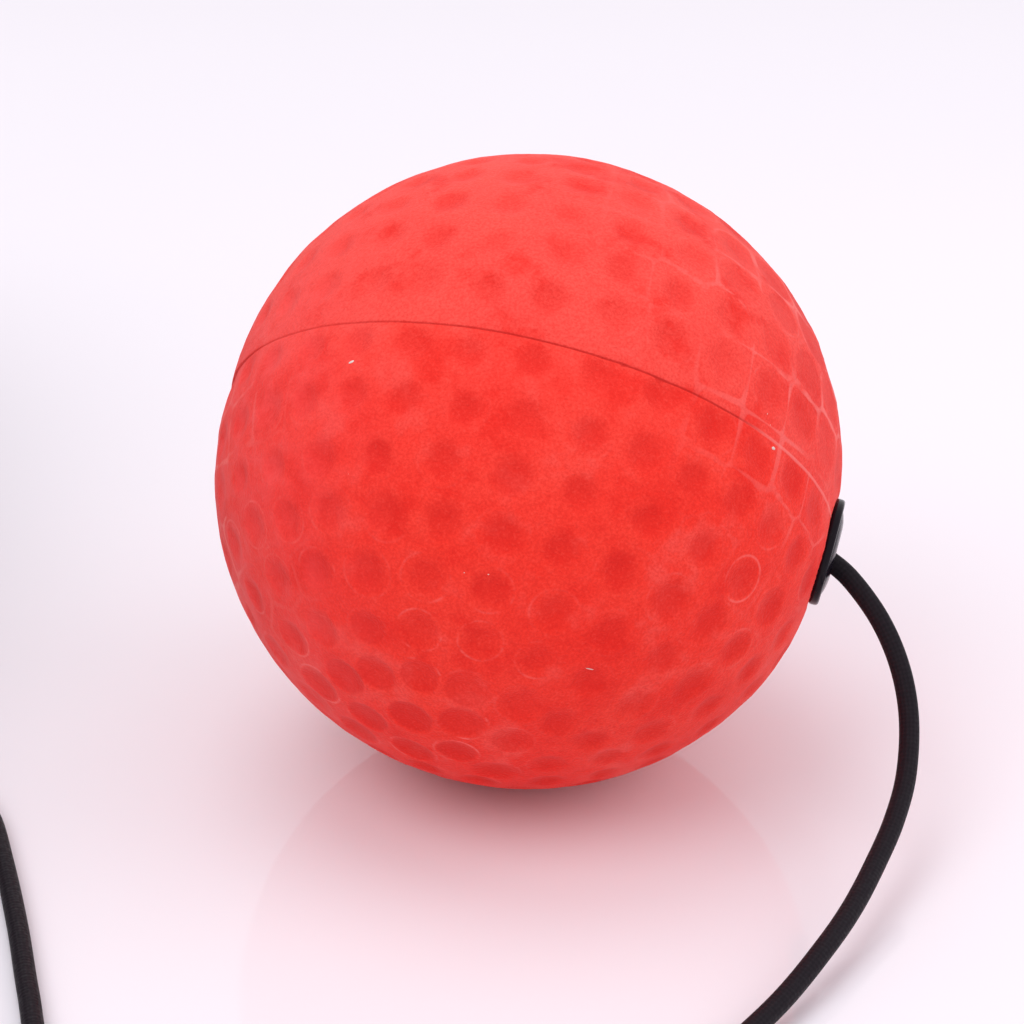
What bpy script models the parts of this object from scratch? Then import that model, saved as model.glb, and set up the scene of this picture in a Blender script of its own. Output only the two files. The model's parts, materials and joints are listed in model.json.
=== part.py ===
"""Reflex ball headband: a foam ball on an elastic cord that is knotted into a padded headband.

The headband stands on its lower edge, the ball rests beside it, and the spare cord lies in
a tied coil between them. Metres, +Z up. The origin is under the middle of the ball and the
headband together, on the surface that they stand on.
"""

import math

import bmesh
import bpy
from mathutils import Matrix, Vector

MM = 0.001

# Ball and plug. Heights along the plug are counted from the ball's centre.
BALL_RADIUS = 0.032
BALL_CENTRE = Vector((0.0985, -0.0290, BALL_RADIUS))
PLUG_AXIS = Vector((0.960, -0.204, -0.191)).normalized()
FLANGE_RADIUS = 0.0055
FLANGE_SEAT = 0.0307
RECESS_RADIUS = 0.0059
SOCKET_RADIUS = 0.0047
SOCKET_FLOOR = 0.0095
STEM_RADIUS = 0.0032
STEM_END = 0.0171
BARB_RADIUS = 0.0042
BARB_COUNT = 3
BARB_PITCH = 0.0035
BORE_RADIUS = 0.0015
MOUTH_START = 0.0285
MOUTH_DEPTH = 0.0039
MOUTH_FLARE = 0.0010

# Cord, and the coil of what isn't in use
CORD_DIAMETER = 0.00205
CORD_RADIUS = CORD_DIAMETER / 2
POINT_EVERY = 2.4 * CORD_DIAMETER
COIL_CENTRE = Vector((0.0247, -0.0482, 0.0))
COIL_INNER_RADIUS = 0.0090
COIL_OUTER_RADIUS = 0.0154
COIL_BOTTOM = 0.0008
COIL_HEIGHT = 0.0043
TIE_WIDTH = 0.0045
TIE_THICKNESS = 0.0005
TIE_ANGLE = math.radians(250)
KNOT_RADIUS = 0.0027
KNOT_LENGTH = 0.0046

# The cord's way from the knot in the ball to the coil
BALL_LEAD = [
    (0.1136, -0.0322, 0.0290),
    (0.1235, -0.0343, 0.0270),
    (0.1268, -0.0351, 0.0262),
    (0.1295, -0.0362, 0.0248),
    (0.1311, -0.0375, 0.0236),
    (0.1337, -0.0400, 0.0205),
    (0.1355, -0.0424, 0.0167),
    (0.1362, -0.0455, 0.0130),
    (0.1355, -0.0509, 0.0093),
    (0.1338, -0.0560, 0.0071),
    (0.1314, -0.0614, 0.0055),
    (0.1287, -0.0671, 0.0044),
    (0.1256, -0.0726, 0.0036),
    (0.1200, -0.0807, 0.0022),
    (0.1105, -0.0913, 0.0012),
    (0.0965, -0.1016, 0.0011),
    (0.0815, -0.1058, 0.0011),
    (0.0705, -0.1036, 0.0011),
    (0.0615, -0.0970, 0.0011),
    (0.0559, -0.0880, 0.0011),
    (0.0527, -0.0765, 0.0011),
    (0.0499, -0.0653, 0.0011),
    (0.0467, -0.0539, 0.0011),
    (0.0441, -0.0458, 0.0011),
    (0.0415, -0.0409, 0.0011),
    (0.0375, -0.0365, 0.0011),
    (0.0325, -0.0334, 0.0013),
]
# From the coil to the knot in the headband
BAND_LEAD = [
    (0.0176, -0.0330, 0.0030),
    (0.0122, -0.0369, 0.0019),
    (0.0082, -0.0424, 0.0012),
    (0.0059, -0.0495, 0.0011),
    (0.0043, -0.0590, 0.0011),
    (0.0010, -0.0710, 0.0011),
    (-0.0055, -0.0840, 0.0011),
    (-0.0160, -0.0955, 0.0011),
    (-0.0290, -0.1030, 0.0011),
    (-0.0410, -0.1066, 0.0015),
    (-0.0485, -0.1076, 0.0036),
    (-0.0535, -0.1068, 0.0080),
    (-0.0562, -0.1052, 0.0135),
    (-0.0580, -0.1026, 0.0190),
    (-0.0592, -0.0985, 0.0233),
    (-0.0595, -0.0935, 0.0249),
    (-0.0595, -0.0880, 0.0250),
    (-0.0595, -0.0796, 0.0250),
]

# Headband: an oval seen from above. Depths are counted outwards from its inner face.
BAND_CENTRE = Vector((-0.0595, -0.0010, 0.0))
BAND_HALF_WIDTH = 0.065
BAND_HALF_LENGTH = 0.081
BAND_HEIGHT = 0.050
GAP = 0.0003
LINING_THICKNESS = 0.0010
FOAM_THICKNESS = 0.0025
OUTER_THICKNESS = 0.0010
LINING_DEPTH = 0.0
FOAM_DEPTH = LINING_DEPTH + LINING_THICKNESS + GAP
OUTER_DEPTH = FOAM_DEPTH + FOAM_THICKNESS + GAP
BAND_THICKNESS = OUTER_DEPTH + OUTER_THICKNESS
TAPE_THICKNESS = 0.0008
TAPE_LEG = 0.0098
PATCH_THICKNESS = 0.0012
PATCH_DEPTH = BAND_THICKNESS + GAP
GRIP_THICKNESS = 0.0008
GRIP_HEIGHT = 0.005
GRIP_LOWER_EDGE = 0.013
GRIP_UPPER_EDGE = 0.032
MIDDLE = BAND_HEIGHT / 2

# Angles round the headband, in degrees, anticlockwise seen from above: 90 is the back of
# the head, 270 the forehead, and the band runs from its inner end to its outer end.
BAND_START = 72.0
BAND_END = 420.0
FOREHEAD = 270.0
ANGLE_STEP = 5.0
GRIP_SPAN = (125.0, 405.0)
LOOP_SPAN = (78.0, 148.0)
HOOK_SPAN = (84.0, 118.0)
TAB_SPAN = (61.8, 124.0)
TAB_HINGE = 61.6
TAB_LIFTED_FROM = 80.0
PATCH_HALF_ANGLE = 21.6

# Closure tab and patches
TAB_THICKNESS = 0.0018
TAB_ROOT_DEPTH = 0.00165
TAB_HALF_HEIGHT = 0.0145
TAB_TIP_RADIUS = 0.011
HOOK_DEPTH = PATCH_DEPTH + PATCH_THICKNESS + GAP
HOOK_HALF_HEIGHT = 0.0115
LOOP_HALF_HEIGHT = 0.0130
TAB_LIFT = HOOK_DEPTH + PATCH_THICKNESS + GAP - TAB_ROOT_DEPTH
PATCH_HALF_HEIGHT = 0.0145
PATCH_CORNER = 0.006

# Eyelet
EYELET_RADIUS = 0.0055
EYELET_HOLE = 0.0030
BARREL_RADIUS = 0.0026
EYELET_BORE = 0.0016


def clear_scene():
    for old in list(bpy.data.objects):
        bpy.data.objects.remove(old, do_unlink=True)


def material(name, colour, roughness, metallic=0.0):
    made = bpy.data.materials.new(name)
    made.use_nodes = True
    shader = made.node_tree.nodes["Principled BSDF"]
    shader.inputs["Base Color"].default_value = (*colour, 1.0)
    shader.inputs["Roughness"].default_value = roughness
    shader.inputs["Metallic"].default_value = metallic
    return made


def add_object(name, data, finish):
    made = bpy.data.objects.new(name, data)
    bpy.context.scene.collection.objects.link(made)
    data.materials.append(material(name, *finish))
    return made


def mesh_object(name, points, faces, finish, place=None):
    """A closed mesh from points and faces, with its faces turned outwards."""
    shape = bmesh.new()
    corners = [shape.verts.new(point) for point in points]
    for face in faces:
        shape.faces.new([corners[i] for i in face])
    bmesh.ops.recalc_face_normals(shape, faces=shape.faces)
    mesh = bpy.data.meshes.new(name)
    shape.to_mesh(mesh)
    shape.free()
    mesh.shade_smooth()
    mesh.set_sharp_from_angle(angle=math.radians(35))
    made = add_object(name, mesh, finish)
    if place is not None:
        made.matrix_world = place
    return made


def move_origin(made, origin):
    """Moves an object's origin without moving its mesh."""
    made.data.transform(Matrix.Translation(-origin))
    made.location = origin


def turned(name, outline, place, segments, finish):
    """A solid of revolution about its own Z. An outline that starts and ends on the axis
    closes at two poles, and any other outline is a closed loop."""
    points = []
    rings = []
    for radius, height in outline:
        count = segments if radius > 0 else 1
        rings.append([len(points) + i for i in range(count)])
        for i in range(count):
            turn = math.tau * i / segments
            points.append((radius * math.cos(turn), radius * math.sin(turn), height))
    pairs = list(zip(rings, rings[1:]))
    if len(rings[0]) > 1:
        pairs.append((rings[-1], rings[0]))
    faces = []
    for first, second in pairs:
        for i in range(segments):
            corners = [
                first[i % len(first)],
                first[(i + 1) % len(first)],
                second[(i + 1) % len(second)],
                second[i % len(second)],
            ]
            faces.append(list(dict.fromkeys(corners)))
    return mesh_object(name, points, faces, finish, place)


def along(axis, centre):
    """The placing that turns +Z to an axis and moves the origin to a centre."""
    return Matrix.Translation(centre) @ axis.to_track_quat("Z", "Y").to_matrix().to_4x4()


# ---- the ball and what is in it


def make_ball():
    mouth = math.asin(RECESS_RADIUS / BALL_RADIUS)
    steps = 22
    outline = []
    for i in range(steps + 1):
        polar = math.pi + (mouth - math.pi) * i / steps
        radius = BALL_RADIUS * math.sin(polar) if i else 0.0
        outline.append((radius, BALL_RADIUS * math.cos(polar)))
    outline += [
        (RECESS_RADIUS, FLANGE_SEAT - GAP),
        (SOCKET_RADIUS, FLANGE_SEAT - GAP),
        (SOCKET_RADIUS, SOCKET_FLOOR),
        (0.0, SOCKET_FLOOR),
    ]
    turned("ball_foam", outline, along(PLUG_AXIS, BALL_CENTRE), 40, ((0.83, 0.045, 0.03), 0.8))


def mouth_radius(height):
    """The bore's radius, which opens out towards the plug's face so that no edge cuts the cord."""
    share = max(0.0, (height - MOUTH_START) / MOUTH_DEPTH)
    return BORE_RADIUS + MOUTH_FLARE * share**2


def make_plug():
    """A flanged plug with a domed face and a barbed stem."""
    outline = [(BORE_RADIUS, STEM_END), (STEM_RADIUS, STEM_END)]
    for i in range(BARB_COUNT):
        foot = STEM_END + 0.7 * MM + i * BARB_PITCH
        outline += [
            (STEM_RADIUS, foot),
            (BARB_RADIUS, foot + 2.2 * MM),
            (STEM_RADIUS, foot + 2.5 * MM),
        ]
    outline += [
        (STEM_RADIUS, FLANGE_SEAT),
        (FLANGE_RADIUS - 0.3 * MM, FLANGE_SEAT),
        (FLANGE_RADIUS, FLANGE_SEAT + 0.3 * MM),
        (FLANGE_RADIUS, FLANGE_SEAT + 0.7 * MM),
        (FLANGE_RADIUS - 0.15 * MM, FLANGE_SEAT + 1.0 * MM),
        (FLANGE_RADIUS - 0.5 * MM, FLANGE_SEAT + 1.25 * MM),
        (0.0040, FLANGE_SEAT + 1.55 * MM),
        (0.0030, FLANGE_SEAT + 1.75 * MM),
    ]
    for share in (1.0, 0.75, 0.5, 0.25, 0.0):
        height = MOUTH_START + MOUTH_DEPTH * share
        outline.append((mouth_radius(height), height))
    turned("ball_plug", outline, along(PLUG_AXIS, BALL_CENTRE), 24, ((0.012, 0.012, 0.014), 0.25))


def ring_outline(inner, outer, low, high):
    return [(inner, low), (outer, low), (outer, high), (inner, high)]


def make_ball_washer():
    low = STEM_END - GAP - 0.8 * MM
    outline = ring_outline(BORE_RADIUS, 0.0038, low, low + 0.8 * MM)
    place = along(PLUG_AXIS, BALL_CENTRE)
    turned("ball_washer", outline, place, 24, ((0.55, 0.55, 0.57), 0.35, 1.0))


def make_knot(name, place):
    """A drawn-up knot, as its rounded outer shape."""
    outline = [(0.0, 0.0)]
    steps = 8
    for i in range(1, steps):
        turn = math.pi * i / steps
        height = KNOT_LENGTH * (1 - math.cos(turn)) / 2
        outline.append((KNOT_RADIUS * math.sin(turn) ** 0.6, height))
    outline.append((0.0, KNOT_LENGTH))
    turned(name, outline, place, 16, ((0.012, 0.012, 0.013), 0.75))


# ---- the cord


def smooth_line(route, spacing):
    """Points about one spacing apart on a centripetal Catmull-Rom curve through a route."""
    knots = [Vector(point) for point in route]
    knots = [2 * knots[0] - knots[1], *knots, 2 * knots[-1] - knots[-2]]
    fine = []
    for before, start, end, after in zip(knots, knots[1:], knots[2:], knots[3:]):
        times = [0.0]
        for a, b in ((before, start), (start, end), (end, after)):
            times.append(times[-1] + math.sqrt((b - a).length))
        t0, t1, t2, t3 = times
        for i in range(24):
            t = t1 + (t2 - t1) * i / 24
            a1 = before.lerp(start, (t - t0) / (t1 - t0))
            a2 = start.lerp(end, (t - t1) / (t2 - t1))
            a3 = end.lerp(after, (t - t2) / (t3 - t2))
            b1 = a1.lerp(a2, (t - t0) / (t2 - t0))
            b2 = a2.lerp(a3, (t - t1) / (t3 - t1))
            fine.append(b1.lerp(b2, (t - t1) / (t2 - t1)))
    fine.append(knots[-2])
    lengths = [0.0]
    for a, b in zip(fine, fine[1:]):
        lengths.append(lengths[-1] + (b - a).length)
    count = round(lengths[-1] / spacing)
    line = []
    place = 0
    for i in range(count + 1):
        wanted = lengths[-1] * i / count
        while place < len(fine) - 2 and lengths[place + 1] < wanted:
            place += 1
        share = (wanted - lengths[place]) / (lengths[place + 1] - lengths[place])
        line.append(fine[place].lerp(fine[place + 1], share))
    return line


def make_tube(name, route):
    line = smooth_line(route, POINT_EVERY)
    curve = bpy.data.curves.new(name, "CURVE")
    curve.dimensions = "3D"
    curve.bevel_depth = CORD_RADIUS
    curve.bevel_resolution = 2
    curve.use_fill_caps = True
    spline = curve.splines.new("POLY")
    spline.points.add(len(line) - 1)
    for point, place in zip(spline.points, line):
        point.co = (*place, 1.0)
    add_object(name, curve, ((0.012, 0.012, 0.013), 0.75))


def make_coil():
    """The outer shape of the wound cord, with its long edges rounded off."""
    top = COIL_BOTTOM + COIL_HEIGHT
    ease = 0.9 * MM
    outline = [
        (COIL_INNER_RADIUS + ease, COIL_BOTTOM),
        (COIL_OUTER_RADIUS - ease, COIL_BOTTOM),
        (COIL_OUTER_RADIUS, COIL_BOTTOM + ease),
        (COIL_OUTER_RADIUS, top - ease),
        (COIL_OUTER_RADIUS - ease, top),
        (COIL_INNER_RADIUS + ease, top),
        (COIL_INNER_RADIUS, top - ease),
        (COIL_INNER_RADIUS, COIL_BOTTOM + ease),
    ]
    place = Matrix.Translation(COIL_CENTRE)
    turned("cord_coil", outline, place, 32, ((0.012, 0.012, 0.013), 0.75))


def make_coil_tie():
    """A flat strap once round the bundle of turns: a rectangular loop, extruded."""
    inner = (COIL_INNER_RADIUS - GAP, COIL_OUTER_RADIUS + GAP)
    low, high = COIL_BOTTOM - GAP, COIL_BOTTOM + COIL_HEIGHT + GAP
    outer = (inner[0] - TIE_THICKNESS, inner[1] + TIE_THICKNESS)
    rims = []
    for across, bottom, top in (
        (inner, low, high),
        (outer, low - TIE_THICKNESS, high + TIE_THICKNESS),
    ):
        rims.append(
            [(across[0], bottom), (across[1], bottom), (across[1], top), (across[0], top)]
        )
    points = []
    for side in (-TIE_WIDTH / 2, TIE_WIDTH / 2):
        for rim in rims:
            points += [(out, side, height) for out, height in rim]
    faces = []
    for i in range(4):
        j = (i + 1) % 4
        faces.append([i, j, 8 + j, 8 + i])
        faces.append([4 + i, 12 + i, 12 + j, 4 + j])
        faces.append([i, 4 + i, 4 + j, j])
        faces.append([8 + i, 8 + j, 12 + j, 12 + i])
    place = Matrix.Translation(COIL_CENTRE) @ Matrix.Rotation(TIE_ANGLE, 4, "Z")
    mesh_object("coil_tie", points, faces, ((0.03, 0.03, 0.035), 0.6), place)


# ---- the headband


def band_point(degrees, depth, height):
    """A point of the headband: its angle, its depth outwards from the inner face, its height."""
    turn = math.radians(degrees)
    rim = Vector((BAND_HALF_WIDTH * math.cos(turn), BAND_HALF_LENGTH * math.sin(turn), 0.0))
    out = Vector((BAND_HALF_LENGTH * math.cos(turn), BAND_HALF_WIDTH * math.sin(turn), 0.0))
    return BAND_CENTRE + rim + depth * out.normalized() + Vector((0.0, 0.0, height))


def angles_over(span, step=ANGLE_STEP):
    count = math.ceil((span[1] - span[0]) / step)
    return [span[0] + (span[1] - span[0]) * i / count for i in range(count + 1)]


def swept(name, angles, section_at, finish):
    """Sweeps a closed section of (depth, height) corners round the headband."""
    points = []
    for angle in angles:
        points += [band_point(angle, *corner) for corner in section_at(angle)]
    count = len(points) // len(angles)
    faces = [list(range(count)), list(range(len(points) - count, len(points)))]
    for ring in range(len(angles) - 1):
        start = ring * count
        for i in range(count):
            j = (i + 1) % count
            faces.append([start + i, start + j, start + count + j, start + count + i])
    return mesh_object(name, points, faces, finish)


def slab(depth, thickness, low, high):
    return [(depth, low), (depth + thickness, low), (depth + thickness, high), (depth, high)]


def make_layer(name, depth, thickness, finish):
    """One of the band's layers, between the two bindings' folds."""
    low = TAPE_THICKNESS + GAP
    section = slab(depth, thickness, low, BAND_HEIGHT - low)
    return swept(name, angles_over((BAND_START, BAND_END)), lambda angle: section, finish)


def make_binding(name, fold, tip, finish):
    """A tape folded over one edge, from the fold's outside to the tips of its two legs."""
    inside = fold + math.copysign(TAPE_THICKNESS, tip - fold)
    inner = -GAP
    outer = BAND_THICKNESS + GAP
    section = [
        (inner - TAPE_THICKNESS, tip),
        (inner - TAPE_THICKNESS, fold),
        (outer + TAPE_THICKNESS, fold),
        (outer + TAPE_THICKNESS, tip),
        (outer, tip),
        (outer, inside),
        (inner, inside),
        (inner, tip),
    ]
    swept(name, angles_over((BAND_START, BAND_END)), lambda angle: section, finish)


def make_grip_strip(name, low):
    section = slab(-GAP - GRIP_THICKNESS, GRIP_THICKNESS, low, low + GRIP_HEIGHT)
    finish = ((0.02, 0.02, 0.022), 0.4)
    swept(name, angles_over(GRIP_SPAN, 5.0), lambda angle: section, finish)


def rounded_half_height(from_end, half_height, corner):
    """Half the height of a patch whose corners are rounded, at a distance from its end."""
    if from_end >= corner:
        return half_height
    return half_height - corner + math.sqrt(corner**2 - (corner - from_end) ** 2)


def arc_length(first, second, depth):
    """How far it is round the headband between two angles that are near each other."""
    steps = 12
    places = [band_point(first + (second - first) * i / steps, depth, 0) for i in range(steps + 1)]
    return sum((b - a).length for a, b in zip(places, places[1:]))


def make_front_patch():
    ends = (FOREHEAD - PATCH_HALF_ANGLE, FOREHEAD + PATCH_HALF_ANGLE)

    def section_at(angle):
        from_end = min(arc_length(end, angle, PATCH_DEPTH) for end in ends)
        half = rounded_half_height(from_end, PATCH_HALF_HEIGHT, PATCH_CORNER)
        return slab(PATCH_DEPTH, PATCH_THICKNESS, MIDDLE - half, MIDDLE + half)

    angles = angles_over(ends, 1.8)
    return swept("front_patch", angles, section_at, ((0.018, 0.018, 0.02), 0.5))


def tab_lift(angle):
    """How far the tab has stepped outwards, over the band's inner end and its loop patch."""
    share = (angle - TAB_HINGE) / (TAB_LIFTED_FROM - TAB_HINGE)
    share = min(1.0, max(0.0, share))
    return TAB_LIFT * share * share * (3 - 2 * share)


def make_closure():
    hinge = band_point(TAB_HINGE, TAB_ROOT_DEPTH + TAB_THICKNESS / 2, MIDDLE)

    def tab_section(angle):
        from_end = arc_length(angle, TAB_SPAN[1], PATCH_DEPTH) if angle < TAB_SPAN[1] else 0.0
        half = rounded_half_height(from_end, TAB_HALF_HEIGHT, TAB_TIP_RADIUS)
        depth = TAB_ROOT_DEPTH + tab_lift(angle)
        return slab(depth, TAB_THICKNESS, MIDDLE - half, MIDDLE + half)

    def hook_section(angle):
        low, high = MIDDLE - HOOK_HALF_HEIGHT, MIDDLE + HOOK_HALF_HEIGHT
        return slab(HOOK_DEPTH, PATCH_THICKNESS, low, high)

    def loop_section(angle):
        low, high = MIDDLE - LOOP_HALF_HEIGHT, MIDDLE + LOOP_HALF_HEIGHT
        return slab(PATCH_DEPTH, PATCH_THICKNESS, low, high)

    tab = swept("closure_tab", angles_over(TAB_SPAN, 2.0), tab_section, ((0.02, 0.02, 0.022), 0.7))
    hook = swept("hook_patch", angles_over(HOOK_SPAN), hook_section, ((0.03, 0.03, 0.033), 0.8))
    swept("loop_patch", angles_over(LOOP_SPAN), loop_section, ((0.025, 0.025, 0.028), 0.95))
    for moving in (tab, hook):
        move_origin(moving, hinge)


def pierce(made, place):
    """Cuts the eyelet's hole through one layer."""
    shape = bmesh.new()
    bmesh.ops.create_cone(
        shape,
        cap_ends=True,
        segments=24,
        radius1=EYELET_HOLE,
        radius2=EYELET_HOLE,
        depth=0.030,
    )
    mesh = bpy.data.meshes.new("eyelet_cutter")
    shape.to_mesh(mesh)
    shape.free()
    cutter = bpy.data.objects.new("eyelet_cutter_" + made.name, mesh)
    bpy.context.scene.collection.objects.link(cutter)
    cutter.matrix_world = place
    cutter.hide_render = True
    cutter.display_type = "WIRE"
    cut = made.modifiers.new("eyelet_hole", "BOOLEAN")
    cut.operation = "DIFFERENCE"
    cut.solver = "EXACT"
    cut.object = cutter


def make_eyelet(place):
    """A flange with its barrel, which is flared over the washer inside the band."""
    face = PATCH_DEPTH + PATCH_THICKNESS + GAP
    outline = [
        (EYELET_BORE, -2.0 * MM),
        (EYELET_BORE + 0.3 * MM, -2.4 * MM),
        (3.9 * MM, -2.4 * MM),
        (4.2 * MM, -2.1 * MM),
        (3.9 * MM, -1.8 * MM),
        (BARREL_RADIUS, -1.8 * MM),
        (BARREL_RADIUS, face),
        (EYELET_RADIUS - 0.3 * MM, face),
        (EYELET_RADIUS, face + 0.3 * MM),
        (EYELET_RADIUS, face + 0.6 * MM),
        (EYELET_RADIUS - 0.4 * MM, face + 0.95 * MM),
        (4.0 * MM, face + 1.2 * MM),
        (2.6 * MM, face + 1.2 * MM),
        (EYELET_BORE + 0.3 * MM, face + 0.8 * MM),
        (EYELET_BORE, face + 0.3 * MM),
    ]
    turned("eyelet_flange", outline, place, 24, ((0.60, 0.60, 0.62), 0.25, 1.0))
    washer = ring_outline(EYELET_HOLE, EYELET_RADIUS, -1.5 * MM, -0.7 * MM)
    turned("eyelet_washer", washer, place, 24, ((0.60, 0.60, 0.62), 0.3, 1.0))


def make_headband():
    fabric = ((0.014, 0.014, 0.016), 0.85)
    tape = ((0.02, 0.02, 0.022), 0.75)
    forehead = band_point(FOREHEAD, 0.0, MIDDLE)
    through = along(Vector((0.0, -1.0, 0.0)), forehead)
    layers = [
        make_layer("band_lining", LINING_DEPTH, LINING_THICKNESS, fabric),
        make_layer("band_foam", FOAM_DEPTH, FOAM_THICKNESS, ((0.10, 0.10, 0.11), 0.95)),
        make_layer("band_outer", OUTER_DEPTH, OUTER_THICKNESS, fabric),
        make_front_patch(),
    ]
    for layer in layers:
        pierce(layer, through)
    make_binding("bottom_binding", 0.0, TAPE_LEG, tape)
    make_binding("top_binding", BAND_HEIGHT, BAND_HEIGHT - TAPE_LEG, tape)
    make_grip_strip("grip_strip_lower", GRIP_LOWER_EDGE)
    make_grip_strip("grip_strip_upper", GRIP_UPPER_EDGE)
    make_closure()
    make_eyelet(through)
    inside = forehead + Vector((0.0, 2.7 * MM, 0.0))
    make_knot("band_knot", along(Vector((0.0, 1.0, 0.0)), inside))


def main():
    clear_scene()
    make_ball()
    make_plug()
    make_ball_washer()
    knot_foot = BALL_CENTRE + PLUG_AXIS * (STEM_END - 2 * GAP - 0.8 * MM - 0.3 * MM)
    make_knot("ball_knot", along(-PLUG_AXIS, knot_foot))
    make_tube("cord_ball_lead", BALL_LEAD)
    make_tube("cord_band_lead", BAND_LEAD)
    make_coil()
    make_coil_tie()
    make_headband()


main()
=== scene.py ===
# Looks of the reflex ball headband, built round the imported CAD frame. Metres, +Z up.

import json
import math

import bmesh
import bpy
import numpy as np
from mathutils import Matrix, Vector, kdtree, noise


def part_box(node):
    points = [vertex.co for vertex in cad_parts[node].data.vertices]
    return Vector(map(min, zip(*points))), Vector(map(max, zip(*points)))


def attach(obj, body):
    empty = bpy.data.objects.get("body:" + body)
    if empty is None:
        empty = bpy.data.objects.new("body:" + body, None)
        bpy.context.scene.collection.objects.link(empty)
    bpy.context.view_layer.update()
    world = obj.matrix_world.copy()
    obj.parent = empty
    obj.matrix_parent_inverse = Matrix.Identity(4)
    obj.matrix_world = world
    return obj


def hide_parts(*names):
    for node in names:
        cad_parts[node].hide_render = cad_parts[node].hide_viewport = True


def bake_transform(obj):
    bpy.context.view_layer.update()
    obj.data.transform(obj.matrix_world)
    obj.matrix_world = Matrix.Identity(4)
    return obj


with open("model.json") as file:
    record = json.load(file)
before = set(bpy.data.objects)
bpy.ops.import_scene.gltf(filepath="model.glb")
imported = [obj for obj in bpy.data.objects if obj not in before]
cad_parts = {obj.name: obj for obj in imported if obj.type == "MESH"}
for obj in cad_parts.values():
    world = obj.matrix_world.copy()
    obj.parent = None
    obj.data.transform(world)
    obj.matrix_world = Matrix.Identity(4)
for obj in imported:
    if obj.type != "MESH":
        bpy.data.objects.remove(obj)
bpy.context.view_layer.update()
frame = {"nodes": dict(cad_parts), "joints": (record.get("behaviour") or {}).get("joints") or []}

MM = 0.001
SCENE = bpy.context.scene
RANDOM = np.random.default_rng(7)
noise.seed_set(7)
UP = Vector((0, 0, 1))

# The ball's centre and the plug's axis are the swivel's
SWIVEL = next(joint for joint in frame["joints"] if joint["name"] == "ball_swivel")
BALL_CENTRE = Vector(SWIVEL["pos_m"])
PLUG_AXIS = Vector(SWIVEL["axis"]).normalized()

# The ball's measures, in millimetres
BALL_RADIUS = 32.2
SEAM_PINCH = 0.85
SEAM_PINCH_SPREAD = 19.0
PLUG_PINCH = 0.10
PLUG_UNDERSIDE = Vector((-0.31, -0.53, -0.79)).normalized()
PLUG_UNDERSIDE_PINCH = 0.40
PLUG_PINCH_SPREAD = 12.0
FLANGE_ANGLE = 9.0
DIMPLE_RADIUS = 2.2
RECESS_RADIUS = 5.6
RECESS_HEIGHT = 30.65
RECESS_EDGE = 0.5
HOLE_RADIUS = 4.3
BALL_COLUMNS = 448

# The parting line's axis, pointing into the ball's lower half, and where its angles start
SEAM_AXIS = Vector((-0.2366, -0.7114, -0.6617)).normalized()
FRONT = Vector((0.0, -0.907, 0.421))
# Rings of dimples: where the first ones lie in degrees below the parting line, the step
# between rings, and how many dimples there are in each, going away from the parting line
FIRST_RING_BELOW = 3.9
FIRST_RING_ABOVE = -8.1
RING_STEP = 9.8
DIMPLES_BELOW = (33, 34, 28, 29, 24, 21, 19, 11, 5)
DIMPLES_ABOVE = (33, 32, 29, 28, 24, 19, 14, 8, 3)
RING_PHASE = -86.4
RING_DRIFT = -0.045
PLUG_CLEARANCE = 12.5

# The cord
CORD_DIAMETER = 0.00205
COIL_CENTRE = Vector((0.0247, -0.0482, 0.0))
COIL_RADII = (0.01435, 0.0123, 0.01025)
COIL_START = 62.0
COIL_TURNS = 6.147
COIL_STEPS = 147
TIE_DEGREES = 250.0
BALL_LEAD = [
    (0.1136, -0.0322, 0.0290), (0.1235, -0.0343, 0.0270), (0.1268, -0.0351, 0.0262),
    (0.1295, -0.0362, 0.0248), (0.1311, -0.0375, 0.0236), (0.1337, -0.0400, 0.0205),
    (0.1355, -0.0424, 0.0167), (0.1362, -0.0455, 0.0130), (0.1355, -0.0509, 0.0093),
    (0.1338, -0.0560, 0.0071), (0.1314, -0.0614, 0.0055), (0.1287, -0.0671, 0.0044),
    (0.1256, -0.0726, 0.0036), (0.1200, -0.0807, 0.0022), (0.1105, -0.0913, 0.0012),
    (0.0965, -0.1016, 0.0011), (0.0815, -0.1058, 0.0011), (0.0705, -0.1036, 0.0011),
    (0.0615, -0.0970, 0.0011), (0.0559, -0.0880, 0.0011), (0.0527, -0.0765, 0.0011),
    (0.0499, -0.0653, 0.0011), (0.0467, -0.0539, 0.0011), (0.0441, -0.0458, 0.0011),
    (0.0415, -0.0409, 0.0011), (0.0375, -0.0365, 0.0011), (0.0325, -0.0334, 0.0013),
]
BAND_LEAD = [
    (0.0176, -0.0330, 0.0030), (0.0122, -0.0369, 0.0019), (0.0082, -0.0424, 0.0012),
    (0.0059, -0.0495, 0.0011), (0.0043, -0.0590, 0.0011), (0.0010, -0.0710, 0.0011),
    (-0.0055, -0.0840, 0.0011), (-0.0160, -0.0955, 0.0011), (-0.0290, -0.1030, 0.0011),
    (-0.0410, -0.1066, 0.0015), (-0.0485, -0.1076, 0.0036), (-0.0535, -0.1068, 0.0080),
    (-0.0562, -0.1052, 0.0135), (-0.0580, -0.1026, 0.0190), (-0.0592, -0.0985, 0.0233),
    (-0.0595, -0.0935, 0.0249), (-0.0595, -0.0880, 0.0250), (-0.0595, -0.0796, 0.0250),
]

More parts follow.
